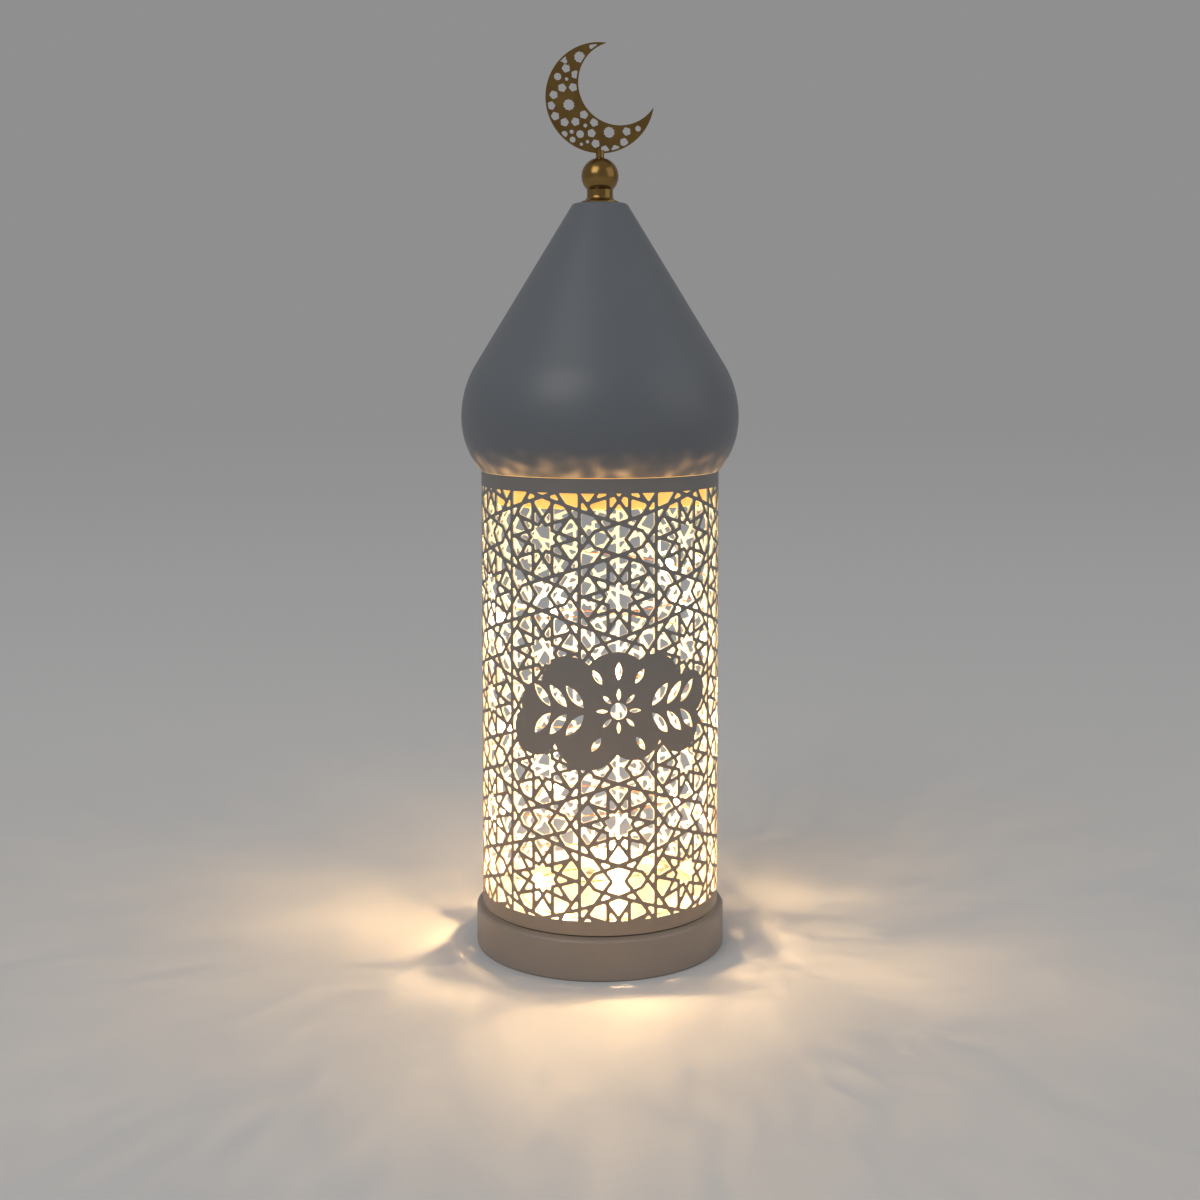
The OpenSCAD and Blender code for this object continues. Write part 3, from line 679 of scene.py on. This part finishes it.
def bentSheetTree():
    # joins the front panel with alternating columns, gives the sheet its thickness and rolls it up
    tree, given, result = newTree("Geometry", "rolledLattice", {
        "Geometry": "Geometry", "Full Column": "Object", "Half Column": "Object", "Columns": "Int",
        "Front Columns": "Int", "Radius": "Float", "Sheet": "Float", "Lower Edge": "Float", "Weld": "Float",
        "Paint": "Material"}, {"Geometry": "Geometry"})

    def by(operation, *values):
        return calc(tree, operation, *values)

    def welded(geometry):
        return shaped(tree, "MergeByDistance", {"Geometry": geometry, "Distance": given["Weld"]})

    around = by("MULTIPLY", given["Radius"], 2 * math.pi)
    pitch = by("DIVIDE", around, given["Columns"])
    start = by("MULTIPLY", by("MULTIPLY_ADD", given["Front Columns"], 0.5, 0.5), pitch)
    count = by("SUBTRACT", given["Columns"], given["Front Columns"])
    index = add(tree, "GeometryNodeInputIndex").outputs[0]
    # the columns run on to the right and come back from the left, so that the sheet closes at the back
    half, back = by("MULTIPLY", around, 0.5), by("MULTIPLY", pitch, 0.5)
    along = by("WRAP", by("MULTIPLY_ADD", index, pitch, start),
               by("ADD", half, back), by("SUBTRACT", back, half))
    line = shaped(tree, "MeshLine", {"Count": count}, mode="OFFSET")
    spread = shaped(tree, "SetPosition", {"Geometry": line, "Position": vectorOf(tree, X=along)})
    odd = by("MODULO", index, 2.0)
    parts = []
    for label, chosen in (("Half Column", by("SUBTRACT", 1.0, odd)), ("Full Column", odd)):
        info = add(tree, "GeometryNodeObjectInfo", {"Object": given[label]}).outputs["Geometry"]
        parts.append(shaped(tree, "InstanceOnPoints", {"Points": spread, "Selection": chosen, "Instance": info}))
    flat = joined(tree, *parts, given["Geometry"])
    flat = welded(shaped(tree, "RealizeInstances", {"Geometry": flat}))
    raised = shaped(tree, "ExtrudeMesh", {"Mesh": flat, "Individual": False, "Offset": vectorOf(tree, Z=1.0),
                                          "Offset Scale": given["Sheet"]}, mode="FACES")
    sheet = welded(joined(tree, raised, shaped(tree, "FlipFaces", {"Mesh": flat})))
    x, y, z = axesOf(tree, add(tree, "GeometryNodeInputPosition").outputs[0])
    angle = by("DIVIDE", x, given["Radius"])
    reach = by("ADD", by("SUBTRACT", given["Radius"], given["Sheet"]), z)
    rolled = vectorOf(tree, X=by("MULTIPLY", reach, by("SINE", angle)),
                      Y=by("MULTIPLY", by("MULTIPLY", reach, by("COSINE", angle)), -1.0),
                      Z=by("ADD", y, given["Lower Edge"]))
    bent = shaped(tree, "SetPosition", {"Geometry": sheet, "Position": rolled})
    finishTree(tree, welded(bent), given["Paint"], result)
    return tree


def grow(obj, tree, values):
    # runs a tree on the object with these inputs and keeps the result as its plain mesh
    modifier = obj.modifiers.new(tree.name, "NODES")
    modifier.node_group = tree
    for item in tree.interface.items_tree:
        if item.in_out == "INPUT" and item.name in values:
            modifier[item.identifier] = values[item.name]
    bpy.context.view_layer.update()
    done = bpy.data.meshes.new_from_object(obj.evaluated_get(bpy.context.evaluated_depsgraph_get()))
    obj.modifiers.clear()
    old, obj.data = obj.data, done
    bpy.data.meshes.remove(old)
    return obj


def closeSeam(mesh):
    # the sheet's two ends meet in the middle of a strand at the back; the ends inside the weld go
    seam = math.radians(-90 + (shade["columns"] + 1) * 180 / shade["columns"])
    across = Vector((-math.sin(seam), math.cos(seam), 0))
    bm = opened(mesh)
    ends = [f for f in bm.faces if all(abs(v.co.dot(across)) < shade["weld"] * mm for v in f.verts)]
    print("weld ends removed:", len(ends))
    bmesh.ops.delete(bm, geom=ends, context="FACES_ONLY")
    stored(bm, mesh)


# stores painted light as the attribute "glow", which the paint shows as emission
def setPaintedLight(mesh, levels):
    mesh.attributes.new("glow", "FLOAT", "POINT").data.foreach_set("value", levels)


def paintedLampLight(mesh):
    # painted lamp light: how strongly each point of the inner face would be lit by the lamps, kept as the
    # attribute "glow" that the paint shows as emission
    glow = shade["glow"]
    lamps = [p for p, _ in lampPlaces()]
    inner = (shade["radius"] - shade["sheet"] / 2) * mm
    levels = []
    for v in mesh.vertices:
        p, r = v.co, v.co.xy.length
        level = 0.0
        if r < inner:
            face = Vector((-p.x / r, -p.y / r, 0))
            for lamp in lamps:
                way = lamp - p
                level += max(way.dot(face), 0) / max(way.length, glow["nearest"]) ** 3
            level = min(level / glow["fullAt"], glow["most"]) + glow["least"]
        levels.append(level)
    setPaintedLight(mesh, levels)


def radialNormals(mesh):
    # the sheet's two faces shade as true cylinders, and the cut edges stay crisp
    normals = []
    for poly in mesh.polygons:
        side = poly.normal.dot(Vector((*poly.center.xy, 0)).normalized())
        for i in poly.loop_indices:
            if abs(side) > 0.9:
                v = mesh.vertices[mesh.loops[i].vertex_index].co
                normals.append(Vector((v.x, v.y, 0)).normalized() * (1 if side > 0 else -1))
            else:
                normals.append(poly.normal.copy())
    smoothAll(mesh)
    mesh.normals_split_custom_set(normals)


def makeShade():
    front, inFront = columnSheet("frontColumns", [(-1, False), (0, True), (1, False)], True)
    full, inFull = columnSheet("fullColumn", [(0, False)], False)
    half, inHalf = columnSheet("halfColumn", [(0, True)], False)
    obj = newObject("latticeShade", front)
    fullObj, halfObj = newObject("fullColumn", full), newObject("halfColumn", half)
    grow(obj, bentSheetTree(), {
        "Full Column": fullObj, "Half Column": halfObj, "Columns": shade["columns"],
        "Front Columns": shade["frontColumns"], "Radius": shade["radius"] * mm, "Sheet": shade["sheet"] * mm,
        "Lower Edge": shade["lowerEdge"] * mm, "Weld": shade["weld"] * mm, "Paint": litShadePaint})
    drop(fullObj)
    drop(halfObj)
    closeSeam(obj.data)
    radialNormals(obj.data)
    paintedLampLight(obj.data)
    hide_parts("lattice_shade")
    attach(obj, "lantern")
    others = shade["columns"] - shade["frontColumns"]
    openings = inFront + others // 2 * inFull + (others + 1) // 2 * inHalf
    print("shade made:", openings, "openings,", len(obj.data.polygons), "faces")


# the light string: two twisted copper wires along the route of the solids, with a drop of resin round each lamp
lights = {
    "turns": 6,
    "count": 22,
    "bead": 4.4,
    "clear": 0.3,
    "start": 38.0,
    "bend": 2.0,
    "leadFrom": 10.2,
    "climbFrom": 0.75,
    "spread": 1.3,
    "topShare": 0.78,
    "strands": 2,
    "strandRadius": 0.17,
    "layRadius": 0.2,
    "layPitch": 9.0,
    "wireStep": 1.6,
    "stepsPerTurn": 96,
    "core": 15500.0,
    "drop": 2.4,
    "dropShape": {"half": 0.68, "sides": 0.64, "radius": 0.5, "fullness": 0.8},  # in bead sizes
    "coreOutline": [(0, -0.8), (0.45, -0.8), (0.6, -0.6), (0.6, 0.6), (0.45, 0.8), (0, 0.8)],
}


def stringAt(u):
    # the string's middle after u turns
    offWall = lights["clear"] + lights["bead"] / 2
    wall = shade["radius"] - shade["sheet"] - offWall
    low = shade["lowerEdge"] + offWall
    top = shade["lowerEdge"] + shade["height"] * lights["topShare"]
    r = lights["start"] + (wall - lights["start"]) * smooth(u / lights["spread"])
    z = low + (top - low) * max(0, u - lights["climbFrom"]) / (lights["turns"] - lights["climbFrom"])
    a = math.radians(90 + 360 * u)
    return Vector((r * math.cos(a), r * math.sin(a), z)) * mm


def stringRoute():
    # up from the base, over a small bend, and round the inside of the shade
    low = shade["lowerEdge"] + lights["clear"] + lights["bead"] / 2
    bend, y, lead = lights["bend"], lights["start"], lights["leadFrom"]
    lift = [Vector((bend, y, lead + (low - bend - lead) * i / 6)) * mm for i in range(6)]
    turn = [Vector((bend * cosd(a), y, low - bend + bend * sind(a))) * mm for a in range(0, 90, 10)]
    steps = lights["stepsPerTurn"]
    return lift + turn + [stringAt(i / steps) for i in range(lights["turns"] * steps + 1)]


def lampPlaces():
    # each lamp's place and the string's direction there
    at = [lights["turns"] * (k + 0.5) / lights["count"] for k in range(lights["count"])]
    return [(stringAt(u), (stringAt(u + 0.01) - stringAt(u - 0.01)).normalized()) for u in at]


def wireTree():
    # strands laid round the route at a steady pitch
    tree, given, result = newTree("Geometry", "laidWires", {
        "Geometry": "Geometry", "Strands": "Int", "Strand Radius": "Float", "Lay Radius": "Float",
        "Lay Pitch": "Float", "Step": "Float", "Metal": "Material"}, {"Geometry": "Geometry"})
    curve = shaped(tree, "MeshToCurve", {"Mesh": given["Geometry"]})
    even = shaped(tree, "ResampleCurve", {"Curve": curve, "Length": given["Step"]}, mode="LENGTH")
    copies = add(tree, "GeometryNodeDuplicateElements", {"Geometry": even, "Amount": given["Strands"]},
                 domain="SPLINE").outputs
    length = add(tree, "GeometryNodeSplineParameter").outputs["Length"]
    phase = calc(tree, "DIVIDE", copies["Duplicate Index"], given["Strands"])
    turns = calc(tree, "ADD", calc(tree, "DIVIDE", length, given["Lay Pitch"]), phase)
    normal = add(tree, "GeometryNodeInputNormal").outputs["Normal"]
    tangent = add(tree, "GeometryNodeInputTangent").outputs["Tangent"]
    spun = add(tree, "ShaderNodeVectorRotate",
               {"Vector": normal, "Axis": tangent, "Angle": calc(tree, "MULTIPLY", turns, 2 * math.pi)},
               rotation_type="AXIS_ANGLE").outputs[0]
    offset = scaled(tree, spun, given["Lay Radius"])
    laid = shaped(tree, "SetPosition", {"Geometry": copies[0], "Offset": offset})
    section = shaped(tree, "CurvePrimitiveCircle", {"Resolution": 6, "Radius": given["Strand Radius"]})
    tubes = shaped(tree, "CurveToMesh", {"Curve": laid, "Profile Curve": section, "Fill Caps": True})
    soft = shaped(tree, "SetShadeSmooth", {"Geometry": tubes})
    finishTree(tree, soft, given["Metal"], result)
    return tree


def placedTree():
    # one copy of a small piece on every point, turned along the attribute "along"
    tree, given, result = newTree("Geometry", "placedCopies", {
        "Geometry": "Geometry", "Piece": "Object", "Size": "Float", "Seed": "Int",
        "Finish": "Material"}, {"Geometry": "Geometry"})
    info = add(tree, "GeometryNodeObjectInfo", {"Object": given["Piece"]}).outputs["Geometry"]
    along = shaped(tree, "InputNamedAttribute", {"Name": "along"}, data_type="FLOAT_VECTOR")
    turn = add(tree, "FunctionNodeAlignRotationToVector", {"Vector": along}, axis="Z").outputs[0]
    chance = add(tree, "FunctionNodeRandomValue", {2: 0.0, 3: 2 * math.pi, "Seed": given["Seed"]},
                 data_type="FLOAT")
    twist = add(tree, "FunctionNodeEulerToRotation", {"Euler": vectorOf(tree, Z=chance.outputs[1])}).outputs[0]
    turn = add(tree, "FunctionNodeRotateRotation", {"Rotation": turn, "Rotate By": twist},
               rotation_space="LOCAL").outputs[0]
    copies = shaped(tree, "InstanceOnPoints", {"Points": given["Geometry"], "Instance": info, "Rotation": turn,
                                               "Scale": given["Size"]})
    finishTree(tree, copies, given["Finish"], result)
    return tree


lacquer = cloudedFinish("wireLacquer", 240.0, 3.0, (0.48, 0.20, 0.08), (0.70, 0.36, 0.16), (0.22, 0.40),
                        Metallic=1.0)
core = cloudedFinish("lampCore", 1500.0, 1.0, (1.0, 0.60, 0.26), (1.0, 0.68, 0.34), glow=lights["core"])
# a clear drop, a little cloudy, that glows warm round its lamp; the lamp light scattered in it is painted as a
# weak emission
resin = cloudedFinish("clearResin", 900.0, 2.0, (1.0, 0.70, 0.36), (1.0, 0.84, 0.58), (0.05, 0.2),
                      lights["drop"], Alpha=0.4)
resin.cycles.emission_sampling = "NONE"
placed = placedTree()
twistSeed = 5


def placedCopies(name, piece, places, size, finish):
    points = bpy.data.meshes.new(name)
    points.from_pydata([tuple(p) for p, _ in places], [], [])
    along = points.attributes.new("along", "FLOAT_VECTOR", "POINT")
    along.data.foreach_set("vector", [c for _, way in places for c in way])
    one = newObject(name + "One", piece)
    obj = grow(newObject(name, points), placed,
               {"Piece": one, "Size": size, "Seed": twistSeed, "Finish": finish})
    drop(one)
    return obj


def makeString():
    route = stringRoute()
    line = bpy.data.meshes.new("stringWires")
    line.from_pydata([tuple(p) for p in route], [(i, i + 1) for i in range(len(route) - 1)], [])
    wires = grow(newObject("stringWires", line), wireTree(), {
        "Strands": lights["strands"], "Strand Radius": lights["strandRadius"] * mm,
        "Lay Radius": lights["layRadius"] * mm, "Lay Pitch": lights["layPitch"] * mm,
        "Step": lights["wireStep"] * mm, "Metal": lacquer})
    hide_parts("light_wire")
    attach(wires, "lantern")

    shape = lights["dropShape"]
    sides = [(shape["radius"] * sind(a) ** shape["fullness"], -shape["sides"] * cosd(a))
             for a in range(15, 180, 15)]
    shell = lathe("drop", [(0, -shape["half"])] + sides + [(0, shape["half"])], 20)
    smoothAll(shell)
    drops = placedCopies("stringDrops", shell, lampPlaces(), lights["bead"], resin)
    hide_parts("light_beads")
    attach(drops, "lantern")
    cores = placedCopies("lampCores", lathe("core", lights["coreOutline"], 8), lampPlaces(), 1.0, core)
    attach(cores, "lantern")
    print("light string made:", lights["count"], "lamps")


makeString()
makeShade()


# the dome: a bulge over the rim, a straight cone and a flat top, turned finely enough to shade smoothly
low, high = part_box("dome_shell")
dome = {
    "radius": (high.x - low.x) / 2 / mm,
    "height": (high.z - low.z) / mm,
    "rim": low.z / mm,
    "rimRadius": 60.34,
    "bulgeHeight": 26.8,
    "upperRadius": 52.0,
    "topRadius": 13.6,
    "edgeRadius": 2.4,
    "sheet": 1.2,
    "hole": 1.6,
    "segments": 192,
    "glow": {"strength": 0.32, "height": 19.0, "fade": 3, "patches": 9, "patchHeight": 5, "level": 0.45,
             "least": 0.35, "depth": 1.5},
}


def arc(middle, r, start, end, step=1.5):
    steps = max(round(abs(end - start) / step), 1)
    return [middle + polar(r, start + (end - start) * i / steps) for i in range(steps + 1)]


def domeSide(inside):
    # the outline from rim to top, moved in by this much
    r, bulge = dome["radius"], dome["bulgeHeight"]
    goesIn = r - dome["rimRadius"]
    lowerR = (bulge * bulge + goesIn * goesIn) / goesIn / 2
    upperR, edgeR = dome["upperRadius"], dome["edgeRadius"]
    lower, upper = Vector((r - lowerR, bulge)), Vector((r - upperR, bulge))
    toTop = Vector((dome["topRadius"], dome["height"])) - upper
    lean = math.degrees(math.atan2(toTop.y, toTop.x) - math.acos(upperR / toTop.length))
    edgeZ = dome["height"] - edgeR
    edgeX = upper.x + (upperR - edgeR - sind(lean) * (edgeZ - bulge)) / cosd(lean)
    start = -math.degrees(math.asin(bulge / (lowerR - inside)))
    return (arc(lower, lowerR - inside, start, 0) + arc(upper, upperR - inside, 1.5, lean)
            + arc(Vector((edgeX, edgeZ)), edgeR - inside, lean, 90, 10))


def paintedRimLight(mesh):
    # painted light: the warm lamp light that comes up past the rim, painted as emission in soft patches on the
    # dome's outer face
    glow = dome["glow"]
    levels = []
    for v in mesh.vertices:
        z = v.co.z / mm - dome["rim"]
        around = glow["patches"] * v.co.xy.normalized()
        patch = max(noise.noise(Vector((*around, z / glow["patchHeight"]))) + glow["level"], 0)
        fade = max(0.0, 1 - z / glow["height"]) ** glow["fade"]
        outside = v.co.xy.length / mm > dome["rimRadius"] - 0.1
        lit = glow["strength"] * fade * (glow["least"] + glow["depth"] * patch * patch)
        levels.append(lit if outside else 0.0)
    setPaintedLight(mesh, levels)


def makeDome():
    outer, inner = domeSide(0), domeSide(dome["sheet"])
    top, hole = dome["height"], dome["hole"]
    rows = outer + [Vector((hole, top)), Vector((hole, top - dome["sheet"]))] + inner[::-1]
    profile = [(p.x, p.y + dome["rim"]) for p in rows + rows[:1]]
    obj = newObject("domeSkin", smoothByAngle(lathe("domeSkin", profile, dome["segments"]), 30))
    paintedRimLight(obj.data)
    obj.data.materials.append(domePaint)
    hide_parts("dome_shell")
    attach(obj, "lid")
    print("dome turned:", len(obj.data.polygons), "faces")


makeDome()


# the base pan: the solid shaded smooth, its shoulder a little lower, and the riser in the gap under the shade
# painted near black as painted shade
base = {"seat": 59.3, "shoulderFrom": 17.5, "shoulderTo": 20.7, "lower": 0.5, "smoothTo": 32}


def makeBase():
    mesh = outward(nodes["base_pan"].data.copy())
    mesh.name = "basePan"
    for v in mesh.vertices:
        if v.co.xy.length > base["seat"] * mm:
            up = (v.co.z / mm - base["shoulderFrom"]) / (base["shoulderTo"] - base["shoulderFrom"])
            v.co.z -= base["lower"] * mm * smooth(up)
    obj = newObject("basePan", smoothByAngle(mesh, base["smoothTo"]))
    mesh.materials.clear()
    mesh.materials.append(litBasePaint)
    mesh.materials.append(shadowGapPaint)
    # the upright faces in the gap under the shade get the near-black paint, a painted shadow
    for poly in mesh.polygons:
        upright, z = abs(poly.normal.z) < 0.5, poly.center.z / mm
        onShadowedRiser = abs(poly.center.xy.length / mm - base["seat"]) < 0.2
        poly.material_index = int(upright and onShadowedRiser and z > base["shoulderFrom"])
    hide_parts("base_pan")
    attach(obj, "lantern")
    print("base made:", len(mesh.polygons), "faces")


makeBase()


# the crescent: rosettes of rounded five-sided openings inside a plain rim
low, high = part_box("crescent")
crescent = {
    "radius": 27.5,
    "cutRadius": 20.9,
    "cutShift": 12.3,
    "turn": 37.2,
    "thickness": (high.y - low.y) / mm,
    "corner": (low.x / mm, low.z / mm),
    "rim": 0.85,
    "bevel": 0.16,
    "smoothTo": 28,
    "firstRosette": (16.25, 193.5),
    "pitch": 24.3,
    "rosetteTurns": (-33, 77),
    "petalRing": 8.95,
    "petal": 2.12,
    "petalTip": 1.12,
    "petalCorner": 0.34,
    "petalTurn": 4,
    "eye": 2.85,
    "eyeWave": (0.9, 1.04),
    # small openings between the rosettes: x, height and radius
    "between": [(-16.9, 8.9, 0.95), (-13.1, 11.0, 1.25), (-21.4, 10.0, 1.9), (-7.5, -13.9, 1.05),
                (-14.4, -17.1, 1.1), (-10.1, -18.2, 2.0), (-18.0, -18.3, 1.6), (-13.9, -21.0, 1.55),
                (-9.5, -23.2, 0.9), (-6.4, -21.9, 0.95), (-3.5, -13.3, 1.05), (19.3, -14.9, 1.5),
                (-17.7, 17.6, 1.2), (-4.6, 25.0, 0.95)],
}


def fiveSided(centre, pointing):
    r = crescent["petal"]
    corners = [polar(r * crescent["petalTip"], pointing + 72 * k) for k in range(5)]
    return moved(roundedCorners(corners, r * crescent["petalCorner"]), centre)


def crescentOutlines():
    # outer edge, cut, the same two moved in by the rim, then the openings
    r, cutR, rim = crescent["radius"], crescent["cutRadius"], crescent["rim"]
    away = polar(crescent["cutShift"], crescent["turn"])
    out = [circle(r, 144), moved(circle(cutR, 120), away),
           circle(r - rim, 144), moved(circle(cutR + rim, 120), away)]
    first = polar(*crescent["firstRosette"])
    for middle in [first] + [first + polar(crescent["pitch"], a) for a in crescent["rosetteTurns"]]:
        out.append([middle + polar(crescent["eye"] * crescent["eyeWave"][k % 2], 18 * k + crescent["petalTurn"])
                    for k in range(20)])
        for k in range(10):
            a = 36 * k + crescent["petalTurn"]
            out.append(fiveSided(middle + polar(crescent["petalRing"], a), a + 180))
    return out + [moved(circle(size, 12), (x, y)) for x, y, size in crescent["between"]]


def makeCrescent():
    outlines = crescentOutlines()

    def isMetal(owners):
        inWindow = 2 in owners and 3 not in owners
        opened = inWindow and max(owners) > 3
        return 0 in owners and 1 not in owners and not opened

    flat = flatSheet("crescentFlat", outlines, isMetal)
    flat.transform(Matrix.Scale(mm, 4))
    mesh = plateFrom("crescentPlate", flat, crescent["thickness"] * mm, crescent["bevel"] * mm)
    bpy.data.meshes.remove(flat)
    x, z = (c + crescent["radius"] for c in crescent["corner"])
    mesh.transform(Matrix.Translation((x * mm, 0, z * mm)))
    obj = newObject("crescentPlate", smoothByAngle(mesh, crescent["smoothTo"]))
    mesh.materials.append(gold)
    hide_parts("crescent")
    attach(obj, "lid")
    print("crescent made:", len(outlines) - 4, "openings,", len(mesh.polygons), "faces")


makeCrescent()


# screws with a cross recess, one set under the cover and one on the tabs
screws = {
    "cover": {"ringRadius": 51.0, "angles": (60, 120, 240, 300), "headRadius": 2.8, "headHeight": 1.3,
              "shankRadius": 1.5, "way": -1, "node": "cover_screws"},
    "tab": {"ringRadius": 53.8, "angles": (45, 135, 225, 315), "headRadius": 2.7, "headHeight": 1.6,
            "shankRadius": 1.4, "way": 1, "node": "tab_screws"},
}
# shares of the head's radius and, for depth and sides, of its height
head = {"top": 0.72, "arm": 0.56, "armHalf": 0.15, "recessFloor": 0.72, "recessLevel": 0.3,
        "sides": ((0.92, 0.84), (1.0, 0.5), (1.0, 0.0)), "smoothTo": 35}


def screwMesh(name, piece, length):
    # the seat of the head is at zero, the head above it and the shank below
    r, h = piece["headRadius"], piece["headHeight"]
    arm, half = r * head["arm"], r * head["armHalf"]
    cross = [Vector(p) for p in ((arm, -half), (arm, half), (half, half))]
    for _ in range(3):
        cross += [Vector((-p.y, p.x)) for p in cross[-3:]]
    flat = flatSheet(name, [circle(r * head["top"], 24), cross], lambda owners: 1 not in owners)
    bm = opened(flat)
    bpy.data.meshes.remove(flat)
    for v in bm.verts:
        v.co.z = h

    def pulled(edges, z, scale=1.0, radius=None):
        # a new ring of faces down to z, scaled or brought to a radius
        made = bmesh.ops.extrude_edge_only(bm, edges=edges)["geom"]
        for v in (g for g in made if isinstance(g, bmesh.types.BMVert)):
            wide = scale if radius is None else radius / v.co.xy.length
            v.co = Vector((v.co.x * wide, v.co.y * wide, z))
        return [g for g in made if isinstance(g, bmesh.types.BMEdge)]

    rims = [e for e in bm.edges if e.is_boundary]
    outer = [e for e in rims if all(v.co.xy.length > r * (head["top"] + head["arm"]) / 2 for v in e.verts)]
    inner = [e for e in rims if e not in outer]
    bmesh.ops.contextual_create(bm, geom=pulled(inner, h * head["recessLevel"], head["recessFloor"]))
    for wide, level in head["sides"]:
        outer = pulled(outer, h * level, radius=r * wide)
    for z in (0.0, -length):
        outer = pulled(outer, z, radius=piece["shankRadius"])
    bmesh.ops.contextual_create(bm, geom=outer)
    bmesh.ops.recalc_face_normals(bm, faces=bm.faces)
    mesh = stored(bm, bpy.data.meshes.new(name))
    mesh.transform(Matrix.Scale(mm, 4))
    return smoothByAngle(mesh, head["smoothTo"])


def makeScrews():
    for name, piece in screws.items():
        low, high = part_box(piece["node"])
        way = piece["way"]
        seat = high.z - piece["headHeight"] * mm if way > 0 else low.z + piece["headHeight"] * mm
        length = (seat - low.z if way > 0 else high.z - seat) / mm
        ring = [polar(piece["ringRadius"], a) * mm for a in piece["angles"]]
        places = [(Vector((*p, seat)), Vector((0, 0, way))) for p in ring]
        screw = screwMesh(name + "Screw", piece, length)
        obj = placedCopies(name + "Screws", screw, places, 1.0, zinc)
        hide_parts(piece["node"])
        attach(obj, "lantern")
        print(name, "screws made:", len(places))


makeScrews()


# finishes for the solids that stay as they are
finishes = {
    "shade_tabs": zinc, "cover_spacers": zinc, "finial_stud": zinc, "stud_washer": zinc, "stud_nut": zinc,
    "switch_body": nickel, "contact_springs": nickel, "contact_plates": nickel,
    "wire_grommet": grommetRubber, "bottom_cover": coverPlastic, "battery_door": doorPlastic,
    "battery_box": boxPlastic, "switch_slider": knobPlastic,
    "finial_foot": gold, "finial_ball": gold, "finial_neck": gold,
    "dome_collar": collarPlastic(), "battery_cells": cellJacket(), "driver_board": boardMask(),
}
for name, mat in finishes.items():
    obj = nodes[name]
    if not obj.material_slots:
        obj.data.materials.append(mat)
    for place in obj.material_slots:
        place.material = mat
print("finishes set on", len(finishes), "nodes")


# floor, backdrop and soft light
studio = {
    "floorTone": 0.50,
    "floorHalf": 6,
    "world": 0.56,
    "seen": 0.275,  # the world's level where the camera, glass or gloss sees it
    "aim": (0, 0, 0.22),
    "key": {"power": 27.0, "size": 2.0, "place": (-1.8, -1.8, 2.2)},
    "fill": {"power": 9.0, "size": 2.4, "place": (2.4, -1.2, 1.4)},
}


def makeFloor():
    far, tone = studio["floorHalf"], studio["floorTone"]
    corners = [(-far, -far, 0), (far, -far, 0), (far, far, 0), (-far, far, 0)]
    floor = newObject("floor", meshFrom("floor", corners, [(0, 1, 2, 3)]))
    mat, tree, shader = startMaterial("paleFloor")
    cloud = add(tree, "ShaderNodeTexNoise", {"Scale": 3.0, "Detail": 3.0}).outputs["Fac"]
    feed(shader, {"Base Color": mixColors(tree, cloud, (tone * 0.98,) * 3, (tone,) * 3), "Roughness": 0.7})
    floor.data.materials.append(mat)


def makeWorld():
    world = bpy.data.worlds.new("softRoom")
    bpy.context.scene.world = world
    world.use_nodes = True
    tree = world.node_tree
    tree.nodes.clear()
    rays = add(tree, "ShaderNodeLightPath").outputs
    seen = calc(tree, "MAXIMUM", rays["Is Camera Ray"], rays["Is Glossy Ray"])
    seen = calc(tree, "MAXIMUM", seen, rays["Is Transmission Ray"])
    sky = add(tree, "ShaderNodeBackground", {"Color": (1, 1, 1, 1),
                                             "Strength": mapped(tree, seen, studio["world"], studio["seen"])})
    add(tree, "ShaderNodeOutputWorld", {"Surface": sky.outputs[0]})


def makeLamps():
    for name in ("key", "fill"):
        given = studio[name]
        data = bpy.data.lights.new(name, "AREA")
        data.energy = given["power"]
        data.size = given["size"]
        lamp = newObject(name, data)
        lamp.location = given["place"]
        toAim = Vector(studio["aim"]) - Vector(given["place"])
        lamp.rotation_euler = toAim.to_track_quat("-Z", "Y").to_euler()


makeFloor()
makeWorld()
makeLamps()
bpy.context.scene.view_settings.view_transform = "Standard"
print("studio lit")
